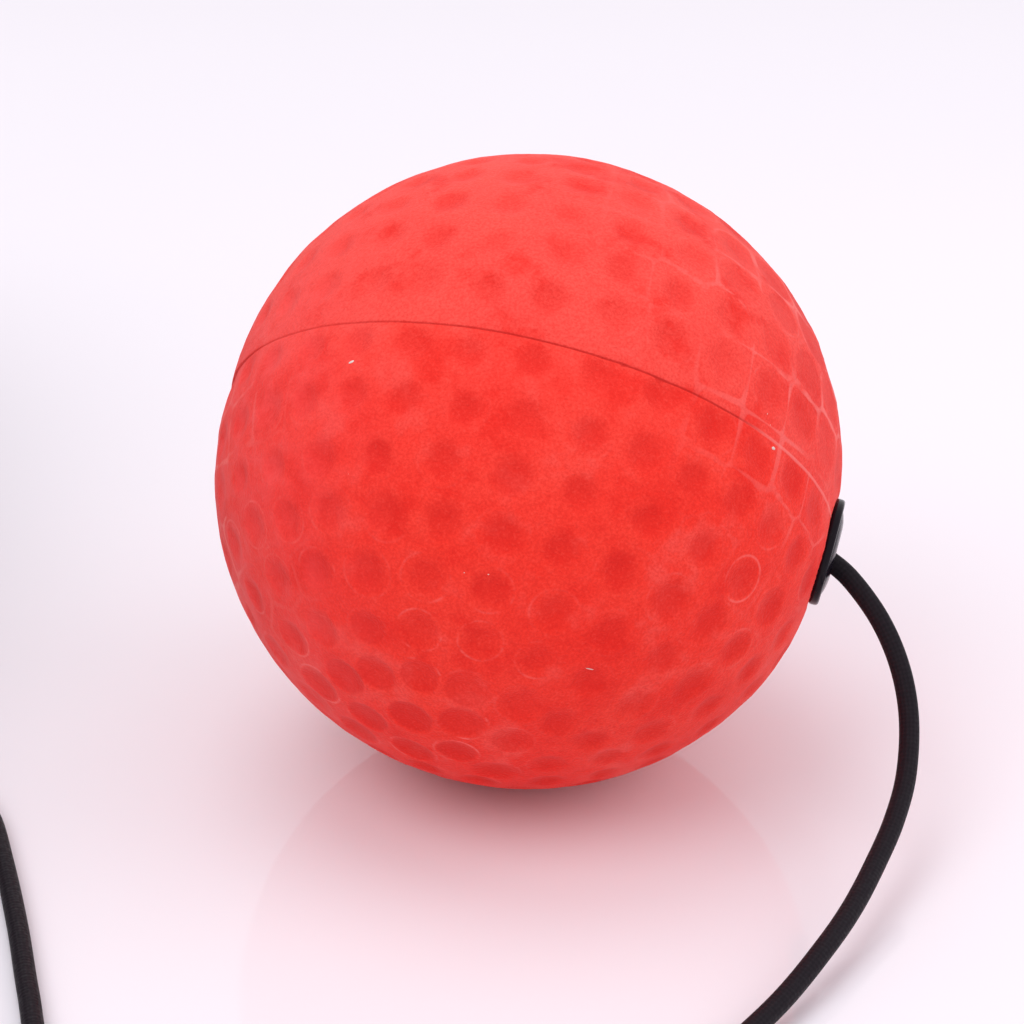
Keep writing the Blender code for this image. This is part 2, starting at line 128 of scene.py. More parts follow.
# The headband: depths are outwards from its inner face, angles go round its oval
BAND_CENTRE = Vector((-0.0595, -0.0010, 0.0))
BAND_HALF_WIDTH = 0.065
BAND_HALF_LENGTH = 0.081
BAND_HEIGHT = 0.050
BAND_MIDDLE = BAND_HEIGHT / 2
BAND_MIDDEPTH = 0.00255
BAND_SPAN = (72.0, 420.0)
PAD_INSET = 0.0012
PAD_HALF_HEIGHT = 0.0165
TAPE_REACH = 0.0098
TAPE_THICKNESS = 0.00075
FOREHEAD = 270.0
GRIP_SPAN = (125.0, 405.0)
GRIP_HALF = 0.0025
LOOP_SPAN = (78.0, 148.0)
HOOK_SPAN = (84.0, 118.0)
HOOK_DEPTH = 0.00798
TAB_SPAN = (53.5, 124.0)
TAB_LIFT = (61.0, 80.0)
TAB_TIP_SEAM = 117.2
TAB_TIP_BULGE = 5.4
TAB_SEAMS = (66.4, 83.2, 119.0)
PATCH_DEPTH = 0.0053
PATCH_HALF_ANGLE = 21.6
PATCH_TOP = 0.00650


# ---- mesh helpers


def link(name, mesh):
    obj = bpy.data.objects.new(name, mesh)
    SCENE.collection.objects.link(obj)
    return obj


def mesh_of(made, name):
    """Turns a finished bmesh into an object."""
    mesh = bpy.data.meshes.new(name)
    made.to_mesh(mesh)
    made.free()
    return link(name, mesh)


def finish_mesh(obj, sharp=None):
    """Turns the faces outwards and shades them smooth, except over edges sharper than that."""
    made = bmesh.new()
    made.from_mesh(obj.data)
    bmesh.ops.recalc_face_normals(made, faces=made.faces)
    made.to_mesh(obj.data)
    made.free()
    obj.data.shade_smooth()
    if sharp:
        obj.data.set_sharp_from_angle(angle=math.radians(sharp))
    return obj


def build(name, points, faces, uvs=None, sharp=None):
    """A mesh object; uvs has one pair for each corner of each face, in metres."""
    mesh = bpy.data.meshes.new(name)
    mesh.from_pydata([tuple(point) for point in points], [], faces)
    if uvs is not None:
        layer = mesh.uv_layers.new(name="UVMap")
        layer.data.foreach_set("uv", np.asarray(uvs, dtype=np.float32).ravel())
    return finish_mesh(link(name, mesh), sharp)


def ring_faces(rings, sides, start=0):
    """The faces between rings of points that follow one another."""
    faces = []
    for low in range(start, start + (rings - 1) * sides, sides):
        high = low + sides
        for j in range(sides):
            k = (j + 1) % sides
            faces.append((low + j, low + k, high + k, high + j))
    return faces


def distances(points):
    """How far along a line each of its points is."""
    steps = np.linalg.norm(np.diff(np.asarray(points), axis=0), axis=1)
    return np.concatenate([[0], steps.cumsum()])


def lofted(name, points, along, across, sharp=None):
    """A capped skin through rings of points. along and across are the rings' and sides' UVs."""
    points = np.asarray(points)
    rings, sides = points.shape[:2]
    faces, uvs = ring_faces(rings, sides), []
    for i in range(rings - 1):
        for j in range(sides):
            uvs += [(along[i], across[j]), (along[i], across[j + 1])]
            uvs += [(along[i + 1], across[j + 1]), (along[i + 1], across[j])]
    for start in (0, (rings - 1) * sides):
        faces.append(tuple(range(start, start + sides)))
        uvs += [(along[0], across[j]) for j in range(sides)]
    return build(name, points.reshape(-1, 3), faces, uvs, sharp)


def lathe(name, outline, centre, axis, segments, sharp):
    """Turns a closed outline of (radius, height), in millimetres, round an axis."""
    turn = UP.rotation_difference(axis).to_matrix()
    points = []
    for i in range(segments):
        angle = math.tau * i / segments
        spoke = Vector((math.cos(angle), math.sin(angle), 0))
        points += [centre + turn @ (spoke * (r * MM) + UP * (h * MM)) for r, h in outline]
    faces = [
        tuple(corner % len(points) for corner in face)
        for face in ring_faces(segments + 1, len(outline))
    ]
    return build(name, points, faces, None, sharp)


def smooth_line(route, spacing):
    """Points about one spacing apart on a centripetal Catmull-Rom curve through a route."""
    knots = [Vector(point) for point in route]
    knots = [2 * knots[0] - knots[1], *knots, 2 * knots[-1] - knots[-2]]
    steps = 24
    fine = []
    for before, start, end, after in zip(knots, knots[1:], knots[2:], knots[3:]):
        times = [0.0]
        for a, b in ((before, start), (start, end), (end, after)):
            times.append(times[-1] + math.sqrt((b - a).length))
        t0, t1, t2, t3 = times
        for i in range(steps):
            t = t1 + (t2 - t1) * i / steps
            a1 = before.lerp(start, (t - t0) / (t1 - t0))
            a2 = start.lerp(end, (t - t1) / (t2 - t1))
            a3 = end.lerp(after, (t - t2) / (t3 - t2))
            b1 = a1.lerp(a2, (t - t0) / (t2 - t0))
            b2 = a2.lerp(a3, (t - t1) / (t3 - t1))
            fine.append(b1.lerp(b2, (t - t1) / (t2 - t1)))
    fine.append(knots[-2])
    fine = np.array([tuple(p) for p in fine])
    lengths = distances(fine)
    wanted = np.linspace(0, lengths[-1], round(lengths[-1] / spacing) + 1)
    return np.stack([np.interp(wanted, lengths, fine[:, k]) for k in range(3)], axis=1)


def tube(name, line, radius, sides, last=1.0):
    """A round tube along a line, its last ring drawn in to a share of its size."""
    line = np.asarray(line)
    ahead = np.gradient(line, axis=0)
    ahead /= np.linalg.norm(ahead, axis=1)[:, None]
    side = np.cross(ahead[0], (0.0, 0.0, 1.0))
    if np.linalg.norm(side) < 0.1:
        side = np.cross(ahead[0], (0.0, 1.0, 0.0))
    rows = []
    turns = np.arange(sides) * math.tau / sides
    for point, way in zip(line, ahead):
        side = side - way * side.dot(way)
        side /= np.linalg.norm(side)
        other = np.cross(way, side)
        rows.append(point + radius * (np.outer(np.cos(turns), side) + np.outer(np.sin(turns), other)))
    rows = np.array(rows)
    rows[-1] = line[-1] + (rows[-1] - line[-1]) * last
    return lofted(name, rows, distances(line), np.linspace(0, math.tau * radius, sides + 1))


def ride(obj, paint, slot, *nodes, body="headband"):
    """Paints a piece, fixes it to its body and hides the CAD nodes it stands for. Its slot is not used.
    """
    paint.on(obj)
    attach(obj, body)
    if nodes:
        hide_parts(*nodes)
    return obj


# ---- material helpers


class Paint:
    """A material whose nodes are added one after the other."""

    def __init__(self, name, colour, roughness, specular=0.5, sheen=(0.0, 0.5), metallic=0.0):
        self.material = bpy.data.materials.new(name)
        self.material.use_nodes = True
        self.tree = self.material.node_tree
        self.shader = self.tree.nodes["Principled BSDF"]
        for key, value in (
            ("Base Color", (*colour, 1)), ("Roughness", roughness), ("Specular IOR Level", specular),
            ("Sheen Weight", sheen[0]), ("Sheen Roughness", sheen[1]), ("Metallic", metallic),
        ):
            self.shader.inputs[key].default_value = value

    def add(self, kind, inputs, **settings):
        node = self.tree.nodes.new("ShaderNode" + kind)
        for key, value in settings.items():
            setattr(node, key, value)
        for key, value in inputs.items():
            if isinstance(value, bpy.types.NodeSocket):
                self.tree.links.new(value, node.inputs[key])
            else:
                node.inputs[key].default_value = value
        return node

    def places(self, kind="Object"):
        return self.add("TexCoord", {}).outputs[kind]

    def calc(self, operation, a, b=0.0, c=0.0):
        return self.add("Math", {0: a, 1: b, 2: c}, operation=operation).outputs[0]

    def times(self, a, b):
        return self.calc("MULTIPLY", a, b)

    def noise(self, scale, detail=2.0, rough=0.5):
        inputs = {"Vector": self.places(), "Scale": scale, "Detail": detail, "Roughness": rough}
        return self.add("TexNoise", inputs).outputs["Fac"]

    def cells(self, scale, feature="F1"):
        inputs = {"Vector": self.places(), "Scale": scale}
        return self.add("TexVoronoi", inputs, feature=feature).outputs["Distance"]

    def spread(self, value, low, high, to_low=0.0, to_high=1.0):
        """Maps low to high onto to_low to to_high, smoothly, and holds it there."""
        inputs = {0: value, 1: low, 2: high, 3: to_low, 4: to_high}
        return self.add("MapRange", inputs, interpolation_type="SMOOTHSTEP").outputs[0]

    def attribute(self, name):
        return self.add("Attribute", {}, attribute_name=name).outputs["Fac"]

    def mix(self, share, first, second):
        first = first if isinstance(first, bpy.types.NodeSocket) else (*first, 1)
        second = second if isinstance(second, bpy.types.NodeSocket) else (*second, 1)
        return self.add("Mix", {0: share, 6: first, 7: second}, data_type="RGBA").outputs[2]

    def colour(self, socket):
        self.tree.links.new(socket, self.shader.inputs["Base Color"])

    def rough(self, socket):
        self.tree.links.new(socket, self.shader.inputs["Roughness"])

    def normal(self, socket):
        self.tree.links.new(socket, self.shader.inputs["Normal"])

    def bump(self, height, distance, strength=1.0, under=None):
        inputs = {"Height": height, "Distance": distance, "Strength": strength}
        if under is not None:
            inputs["Normal"] = under
        return self.add("Bump", inputs).outputs["Normal"]

    def waves(self, turns_u, turns_v):
        """A sine of the UVs, with so many turns a metre in each direction."""
        split = self.add("SeparateXYZ", {0: self.places("UV")})
        u = self.times(split.outputs[0], turns_u * math.tau)
        return self.calc("SINE", self.calc("MULTIPLY_ADD", split.outputs[1], turns_v * math.tau, u))

    def cloth(self, weave, body, lint, fluff, depth, fluff_depth):
        """Colours a weave, catches some pale lint on it, and embosses both."""
        self.colour(self.mix(self.spread(fluff, 0.5, 0.8, 0, 0.4), body, lint))
        skin = self.bump(weave, depth, 0.8)
        self.normal(self.bump(fluff, *fluff_depth, skin))

    def on(self, obj):
        obj.data.materials.clear()
        obj.data.materials.append(self.material)


def foam_paint():
    """Matte moulded polyurethane foam, mottled, with painted shade in its dimples, on its underside and
    along its parting line, painted light on its top, a haze on its left that is dust and painted sheen,
    and rims paler from rubbing and painted highlight.
    """
    paint = Paint("foam", (0.95, 0.034, 0.026), 0.65, 0.22, sheen=(0.055, 0.42))
    paint.shader.inputs["Sheen Tint"].default_value = (1.0, 0.80, 0.80, 1)
    pit = paint.attribute("pit")
    seam = paint.calc("ABSOLUTE", paint.attribute("seam"))
    flash = paint.attribute("flash")
    grain = paint.noise(3900, 2.0, 0.65)
    patches = paint.noise(330, 3.0, 0.6)
    mottle = paint.noise(165, 4.0, 0.65)

    land = paint.spread(paint.noise(85, 3.0, 0.6), 0.35, 0.72)
    land = paint.mix(land, (0.97, 0.029, 0.015), (1.0, 0.047, 0.027))
    # Painted light: paler towards the top, and a little paler on the half above the parting line.
    land = paint.mix(paint.attribute("top"), land, (1.0, 0.105, 0.088))
    # Painted shade: a deeper red towards the underside.
    land = paint.mix(paint.attribute("under"), land, (0.97, 0.010, 0.002))
    land = paint.mix(paint.spread(mottle, 0.50, 0.68, 0.0, 0.60), land, (1.0, 0.090, 0.070))
    land = paint.mix(paint.spread(mottle, 0.50, 0.34, 0.0, 0.62), land, (0.86, 0.014, 0.007))

    # Painted shade: the dimples' hollows are coloured darker, with sharper edges where the moulding is
    # crisp.
    sharp = paint.times(paint.spread(pit, 1.03, 0.86), paint.attribute("crisp"))
    ragged = paint.calc("MULTIPLY_ADD", patches, 0.7, paint.calc("SUBTRACT", pit, 0.35))
    depth = paint.calc("MAXIMUM", paint.spread(ragged, 1.08, 0.45, 0.0, 0.85), sharp)
    body = paint.mix(paint.times(depth, paint.attribute("shade")), land, (0.74, 0.010, 0.006))
    body = paint.mix(paint.spread(grain, 0.60, 0.36, 0.0, 0.34), body, (0.72, 0.012, 0.008))
    body = paint.mix(paint.spread(grain, 0.54, 0.74, 0.0, 0.20), body, (1.0, 0.115, 0.090))
    # A pale, greyer haze on the left and front: partly dust, partly painted sheen along the side that
    # turns away.
    dust_and_sheen_haze = paint.times(paint.attribute("dust"), paint.spread(patches, 0.3, 0.7, 0.45, 1.0))
    body = paint.mix(dust_and_sheen_haze, body, (0.96, 0.085, 0.085))

    # Pale rims round the dimples and pale web lines: partly wear and flow marks in the skin, partly
    # painted highlight where the ridges catch the light.
    rim = paint.calc("ABSOLUTE", paint.calc("SUBTRACT", pit, 1.10))
    worn = paint.times(paint.spread(paint.noise(230, 4.0, 0.7), 0.46, 0.66), paint.attribute("rub_and_highlight"))
    rim = paint.times(paint.spread(rim, 0.10, 0.0), worn)
    web = paint.times(paint.spread(paint.attribute("edge"), 0.50, 0.16), paint.attribute("web"))
    web = paint.times(web, paint.spread(paint.noise(140, 3.0), 0.40, 0.56, 0.1, 1.0))
    body = paint.mix(paint.times(paint.calc("MAXIMUM", rim, web), 0.72), body, (1.0, 0.23, 0.21))

    # Painted shade: a thin dark line in the parting line's groove, at half strength on the left and none
    # where the flash stands.
    line = paint.times(paint.spread(seam, 0.17, 0.03), paint.calc("SUBTRACT", 1.0, flash))
    line = paint.times(line, paint.attribute("line"))
    body = paint.mix(paint.times(line, 0.68), body, (0.50, 0.008, 0.006))
    # Painted highlight: a pale line along the flash's ridge on the right.
    pale = paint.times(paint.spread(seam, 0.24, 0.06), flash)
    paint.colour(paint.mix(paint.times(pale, 0.6), body, (1.0, 0.24, 0.22)))

    skin = paint.bump(grain, 0.00016, 0.7)
    skin = paint.bump(patches, 0.0004, 0.5, skin)
    pores = paint.spread(paint.cells(1300), 0.0, 0.30)
    paint.normal(paint.bump(pores, 0.00006, 0.35, skin))
    return paint


def plug_paint():
    paint = Paint("plug_plastic", (0.007, 0.006, 0.009), 0.2, 0.15)
    paint.rough(paint.spread(paint.noise(900, 4.0, 0.7), 0.45, 0.75, 0.16, 0.34))
    paint.colour(paint.mix(paint.noise(400), (0.005, 0.003, 0.007), (0.010, 0.007, 0.012)))
    paint.normal(paint.bump(paint.noise(1400), 0.00002, 0.5))
    return paint


def lint_paint():
    paint = Paint("lint", (0.82, 0.66, 0.60), 0.9)
    paint.colour(paint.mix(paint.noise(4000), (0.62, 0.40, 0.36), (0.9, 0.84, 0.78)))
    return paint


def braid_paint():
    """A fine round braid of black polyester over rubber."""
    paint = Paint("braid", (0.009, 0.006, 0.009), 0.62, 0.20, sheen=(0.03, 0.4))
    along, around = 1050, 8 / (math.pi * CORD_DIAMETER)
    weave = paint.times(paint.waves(along, around), paint.waves(along, -around))
    fluff = paint.noise(2500, 3.0)
    body = paint.mix(paint.spread(weave, -0.8, 0.9), (0.008, 0.005, 0.008), (0.013, 0.009, 0.013))
    paint.colour(paint.mix(paint.spread(fluff, 0.55, 0.75, 0, 0.35), body, (0.026, 0.020, 0.026)))
    skin = paint.bump(weave, 0.00002, 0.4)
    paint.normal(paint.bump(fluff, 0.00005, 0.4, skin))
    paint.rough(paint.spread(fluff, 0.3, 0.7, 0.52, 0.75))
    return paint


def knit_paint():
    """A knitted face: columns of small leaning loops, with some fluff."""
    dark, pale = (0.011, 0.011, 0.012), (0.024, 0.024, 0.027)
    paint = Paint("jersey", dark, 0.85, 0.25, sheen=(0.3, 0.5))
    pitch = 0.0007
    turns = 1 / pitch
    loops = paint.calc("MAXIMUM", paint.waves(turns, turns * 0.5), paint.waves(-turns, turns * 0.5))
    body = paint.mix(paint.spread(loops, -0.6, 1.0), dark, pale)
    lint = tuple(2.2 * c for c in pale)
    paint.cloth(loops, body, lint, paint.noise(1800, 3.0, 0.6), pitch * 0.16, (0.00008, 0.5))
    return paint


def tape_paint():
    """Ribbed grosgrain tape, its ribs across it."""
    paint = Paint("grosgrain", (0.016, 0.016, 0.018), 0.72, 0.35, sheen=(0.2, 0.5))
    ribs, threads = paint.waves(1 / 0.00062, 0), paint.waves(0, 1 / 0.00035)
    weave = paint.calc("MULTIPLY_ADD", threads, 0.3, ribs)
    body = paint.mix(paint.spread(weave, -1.1, 1.2), (0.009, 0.009, 0.010), (0.028, 0.028, 0.031))
    paint.cloth(weave, body, (0.05, 0.05, 0.054), paint.noise(1500, 3.0), 0.00009, (0.00006, 0.4))
    return paint


def mesh_paint():
    """Spacer mesh: a net of small round holes."""
    paint = Paint("spacer_mesh", (0.020, 0.020, 0.022), 0.85, 0.25, sheen=(0.3, 0.5))
    pitch = 0.0019
    squares = []
    for across, along in ((1, 0), (0.5, 0.866), (-0.5, 0.866)):
        wave = paint.waves(across / pitch, along / pitch)
        squares.append(paint.times(wave, wave))
    net = paint.calc("ADD", paint.calc("ADD", squares[0], squares[1]), squares[2])
    holes = paint.spread(net, 0.55, 1.15)
    body = paint.mix(holes, (0.004, 0.004, 0.005), (0.026, 0.026, 0.029))
    paint.cloth(holes, body, (0.06, 0.06, 0.065), paint.noise(2200, 3.0), 0.0003, (0.00008, 0.5))
    return paint


def leather_paint():
    """Black leatherette with a fine pebbled grain, rubbed a little at random."""
    paint = Paint("leatherette", (0.016, 0.016, 0.017), 0.45, 0.5)
    grain = paint.spread(paint.cells(1050, "DISTANCE_TO_EDGE"), 0.0, 0.22)
    rubbed = paint.spread(paint.noise(120, 4.0), 0.45, 0.7)
    body = paint.mix(grain, (0.009, 0.009, 0.010), (0.022, 0.022, 0.024))
    paint.colour(paint.mix(paint.times(rubbed, 0.4), body, (0.045, 0.043, 0.043)))
    paint.rough(paint.spread(paint.noise(300, 3.0), 0.3, 0.7, 0.36, 0.56))
    skin = paint.bump(grain, 0.00012, 0.7)
    paint.normal(paint.bump(paint.noise(2600), 0.00003, 0.4, skin))
    return paint


def silicone_paint():
    paint = Paint("silicone", (0.018, 0.018, 0.020), 0.38, 0.45)
    dust = paint.spread(paint.noise(1600, 4.0, 0.7), 0.52, 0.75)
    paint.colour(paint.mix(paint.times(dust, 0.5), (0.013, 0.013, 0.015), (0.07, 0.07, 0.073)))
    paint.rough(paint.spread(paint.noise(500, 3.0), 0.3, 0.7, 0.3, 0.5))
    paint.normal(paint.bump(paint.noise(700), 0.00005, 0.5))
    return paint


def metal_paint(name, colour, roughness):
    paint = Paint(name, colour, roughness, metallic=1.0)
    marks = paint.noise(1300, 4.0, 0.7)
    paint.rough(paint.spread(marks, 0.35, 0.75, roughness * 0.8, roughness * 1.7))
    dull = tuple(0.8 * c for c in colour)
    paint.colour(paint.mix(paint.spread(paint.noise(350, 3.0), 0.4, 0.7), colour, dull))
    paint.normal(paint.bump(marks, 0.00002, 0.4))
    return paint


def fuzz_paint():
    """The fuzz of the closure's loops."""
    dark, pale = (0.010, 0.010, 0.012), (0.040, 0.040, 0.044)
    paint = Paint("loop_fuzz", dark, 0.95, 0.15, sheen=(0.6, 0.6))
    tufts = paint.noise(1300, 4.0, 0.75)
    paint.colour(paint.mix(paint.spread(tufts, 0.35, 0.72), dark, pale))
    paint.normal(paint.bump(tufts, 0.0004, 0.8))
    return paint


def hook_paint():
    paint = Paint("hook_nylon", (0.025, 0.025, 0.028), 0.45)
    paint.colour(paint.mix(paint.noise(900, 3.0), (0.016, 0.016, 0.018), (0.04, 0.04, 0.044)))
    paint.normal(paint.bump(paint.noise(2200), 0.00004, 0.5))
    return paint


def thread_paint():
    paint = Paint("thread", (0.03, 0.03, 0.033), 0.6, 0.4)
    twist = paint.waves(1 / 0.0005, 1 / 0.0007)
    paint.colour(paint.mix(paint.spread(twist, -0.8, 0.8), (0.016, 0.016, 0.018), (0.05, 0.05, 0.054)))
    paint.normal(paint.bump(twist, 0.00005, 0.6))
    return paint


# ---- camera, floor and light


def make_camera():
    data = bpy.data.cameras.new("camera")
    data.lens = 98.24
    data.sensor_width = 36.0
    data.clip_start = 0.01
    camera = link("camera", data)
    camera.location = BALL_CENTRE + Vector((-0.00173, -0.26001, 0.11620))
    camera.rotation_euler = (math.radians(65.1), 0.0, 0.0)
    SCENE.camera = camera


def area_light(name, offset, target, size, watts):
    """A round soft light, offset from the ball's centre, with its height above the floor."""
    data = bpy.data.lights.new(name, "AREA")
    data.shape = "DISK"
    data.size = size
    data.energy = watts
    data.color = (1.0, 0.99, 1.0)
    light = link(name, data)
    light.location = (BALL_CENTRE.x + offset[0], BALL_CENTRE.y + offset[1], offset[2])
    way = Vector(target) - light.location
    light.rotation_euler = way.to_track_quat("-Z", "Y").to_euler()
    light.visible_glossy = False


def make_studio():
    bpy.ops.mesh.primitive_plane_add(size=12.0, location=(0, 0, 0))
    floor = bpy.context.object
    floor.name = "floor"
    paint = Paint("floor", (0.918, 0.875, 0.928), 0.1, 0.32)
    paint.rough(paint.spread(paint.noise(3, 3.0), 0.3, 0.7, 0.03, 0.055))
    paint.on(floor)
    world = bpy.data.worlds.new("studio")
    SCENE.world = world
    world.use_nodes = True
    sky = world.node_tree.nodes["Background"]
    sky.inputs["Color"].default_value = (1.0, 0.98, 1.02, 1)
    sky.inputs["Strength"].default_value = 0.80
    area_light("softbox", (-0.15, 0.15, 0.95), BALL_CENTRE, 0.55, 1.5)
    area_light("fill", (-0.44, -0.42, 0.72), (0.06, -0.07, 0.0), 0.6, 1.95)
    area_light("side", (0.60, -0.05, 0.38), BALL_CENTRE, 0.5, 0.9)
    SCENE.view_settings.view_transform = "Standard"


# ---- the cord


def smooth(value, low, high):
    """0 up to low, 1 from high on, and a smooth step between them."""
    share = np.clip((value - low) / (high - low), 0, 1)
    return share * share * (3 - 2 * share)


def eased(value, marks):
    """A value that moves smoothly between (place, value) marks."""
    for (a, first), (b, second) in zip(marks, marks[1:]):
        if value <= b:
            return first + (second - first) * smooth(value, a, b)
    return marks[-1][1]


def coil_points():
    """Three turns inwards on the floor and three outwards on top of them."""
    outer, middle, inner = COIL_RADII
    radii = (
        (0.0, 0.0167), (0.2, outer), (0.98, outer), (1.12, middle), (1.98, middle), (2.12, inner),
        (3.98, inner), (4.12, middle), (4.98, middle), (5.12, outer), (5.95, outer),
        (COIL_TURNS, 0.01673),
    )
    layers = ((0.0, 0.0), (2.96, 0.0), (3.14, 1.0), (6.2, 1.0))
    floor, layer, tie_lift, tie_reach = 0.00112, 0.00200, 0.0006, 26.0
    points = []
    for i in range(1, COIL_STEPS):
        turns = COIL_TURNS * i / COIL_STEPS
        degrees = COIL_START + 360.0 * turns
        from_tie = abs((degrees - TIE_DEGREES + 180.0) % 360.0 - 180.0)
        hump = tie_lift * math.exp(-((from_tie / tie_reach) ** 2))
        high = floor + hump + eased(turns, layers) * layer
        far = eased(turns, radii)
        way = math.radians(degrees)
        points.append(COIL_CENTRE + Vector((far * math.cos(way), far * math.sin(way), high)))
    return points


def make_tie():
    """A webbing loop round the coil, its free end lying back over it."""
    way = math.radians(TIE_DEGREES)
    out = Vector((math.cos(way), math.sin(way), 0))
    along = Vector((-math.sin(way), math.cos(way), 0))
    inner, outer, low, high, corner = 0.0089, 0.0157, 0.0001, 0.0056, 0.0011
    half_width, half_thickness, lap = 0.00225, 0.00022, 0.00055
    strip = []
    corners = (
        (outer - corner, high - corner, 0), (inner + corner, high - corner, 90),
        (inner + corner, low + corner, 180), (outer - corner, low + corner, 270),
    )
    for x, z, start in corners:
        for k in range(7):
            turn = math.radians(start + 15 * k)
            strip.append((x + corner * math.cos(turn), z + corner * math.sin(turn), turn))
    strip.append((*strip[0][:2], strip[0][2] + math.tau))
    for k in range(1, 9):
        x, z, turn = strip[min(k, 6)]
        x -= 0.0014 * max(0, k - 6)
        strip.append((x + lap * math.cos(turn), z + lap * math.sin(turn), turn))
    rows, middles = [], []
    for x, z, turn in strip:
        middle = COIL_CENTRE + out * x + UP * z
        off = out * math.cos(turn) + UP * math.sin(turn)
        row = []
        for side, thick in ((-1, 0), (-0.94, 1), (0.94, 1), (1, 0), (0.94, -1), (-0.94, -1)):
            row.append(tuple(middle + along * side * half_width + off * thick * half_thickness))
        rows.append(row)
        middles.append(tuple(middle))
    across = (0.0, 0.0003, 0.0043, 0.0045, 0.0048, 0.0088, 0.009)
    tie = lofted("tie_strap", rows, distances(middles), across, sharp=50)
    return ride(tie, tape_paint(), "tie_black", "coil_tie")


def make_cord():
    route = [*BALL_LEAD, *coil_points(), *BAND_LEAD]
    line = smooth_line(route, 0.0006)
    cord = tube("cord", line, CORD_DIAMETER / 2, 16)
    braid = braid_paint()
    ride(cord, braid, "cord_black", "cord_ball_lead", "cord_coil", "cord_band_lead")
    tie = make_tie()
    return braid


# ---- the ball


def toward(around, up):
    """The direction so many degrees round from +X and so many up from level."""
    around, up = math.radians(around), math.radians(up)
    return Vector((math.cos(up) * math.cos(around), math.cos(up) * math.sin(around), math.sin(up)))


def angle_from(ways, way):
    return np.degrees(np.arccos(np.clip(ways @ np.array(way), -1, 1)))


def nearness(ways, way, spread):
    """1 in one direction, falling off over so many degrees."""
    return np.exp(-((angle_from(ways, Vector(way).normalized()) / spread) ** 2))


def noise_at(ways, scale):
    return np.array([noise.noise(Vector(way) * scale) for way in ways])


def seam_axes():
    first = SEAM_AXIS.cross(FRONT).normalized()
    return np.array(first), np.array(SEAM_AXIS.cross(first)), np.array(SEAM_AXIS)


def dimple_centres():
    first, second, pole = seam_axes()
    centres = []
    rings = [(FIRST_RING_ABOVE - RING_STEP * k, count) for k, count in enumerate(DIMPLES_ABOVE)]
    rings.reverse()
    rings += [(FIRST_RING_BELOW + RING_STEP * k, count) for k, count in enumerate(DIMPLES_BELOW)]
    for latitude, count in rings:
        phase = RING_PHASE + RING_DRIFT * latitude
        lat = math.radians(latitude)
        for i in range(count):
            turn = math.radians(phase + 360.0 * i / count)
            way = math.cos(lat) * (math.cos(turn) * first + math.sin(turn) * second)
            way = way + math.sin(lat) * pole + RANDOM.normal(0, 0.006, 3)
            way = way / np.linalg.norm(way)
            if math.degrees(math.acos(way @ np.array(PLUG_AXIS))) > PLUG_CLEARANCE:
                centres.append(way)
    return centres


def nearest_dimples(ways, centres):
    """Which dimple is nearest, and the straight distances to it and to the next one."""
    tree = kdtree.KDTree(len(centres))
    for index, centre in enumerate(centres):
        tree.insert(centre, index)
    tree.balance()
    found = [tree.find_n(way, 2) for way in ways]
    nearest, second = np.array([[entry[2] for entry in pair] for pair in found]).T
    return np.array([pair[0][1] for pair in found]), nearest, second


def latitudes():
    """Rows of the ball's mesh, close together at the parting line."""
    near = [0.0, 0.09, 0.22, 0.42, 0.7]
    rows = near + list(np.linspace(1.2, 89.4, 118))
    return np.array(sorted({-lat for lat in rows} | set(rows)))


def ball_ways(lats):
    """The directions of the ball's mesh points, row by row."""
    first, second, pole = seam_axes()
    turns = np.arange(BALL_COLUMNS) * math.tau / BALL_COLUMNS
    rows = np.radians(lats)[:, None]
    ring = np.cos(turns)[:, None] * first + np.sin(turns)[:, None] * second
    ways = np.cos(rows)[:, :, None] * ring[None] + np.sin(rows)[:, :, None] * pole
    return ways.reshape(-1, 3)


def crispness(ways):
    """How sharply the dimples are moulded: they are worn and soft elsewhere."""
    crisp = nearness(ways, (-0.41, -0.83, -0.40), 27)
    for share, way, spread in (
        (1.0, (0.86, 0.0, 0.50), 26), (0.6, (0.67, -0.73, -0.11), 20), (0.8, (0.1, 0.9, -0.3), 48),
    ):
        crisp = np.maximum(crisp, share * nearness(ways, way, spread))
    return crisp


def ball_radius(ways, lat, pit, crisp, honeycomb):
    """The ball's radius in each direction, in millimetres."""
    radius = BALL_RADIUS - SEAM_PINCH * np.exp(-np.abs(lat) / SEAM_PINCH_SPREAD)
    below = np.clip(ways @ np.array(PLUG_UNDERSIDE) / 0.15, 0, 1)
    pinch = PLUG_PINCH + PLUG_UNDERSIDE_PINCH * below
    from_flange = np.maximum(angle_from(ways, PLUG_AXIS) - FLANGE_ANGLE, 0)
    radius -= pinch * np.exp(-from_flange / PLUG_PINCH_SPREAD)
    # The dimples: shallow bowls, with steeper sides and a raised rim where they are crisp
    soft = np.clip(1 - pit**2, 0, 1) ** 1.8
    sharp = np.clip(1 - pit**3.2, 0, 1)
    deep = (0.40 + 0.06 * crisp) * (1 - 0.78 * honeycomb)
    radius -= deep * (soft + (sharp - soft) * crisp)
    radius += 0.04 * crisp * np.exp(-(((pit - 1.10) / 0.10) ** 2))
    # The parting line: the upper half stands a little proud, over a groove or a flash
    arc = np.radians(lat) * BALL_RADIUS
    left = smooth(-ways[:, 0], 0.80, 0.97)
    flash = smooth(ways[:, 0], 0.60, 0.76)
    radius -= np.sign(arc) * (0.010 + 0.12 * left) * np.exp(-np.abs(arc) / 1.4)
    radius -= (0.08 - 0.13 * flash) * np.exp(-((arc / 0.10) ** 2))
    return radius


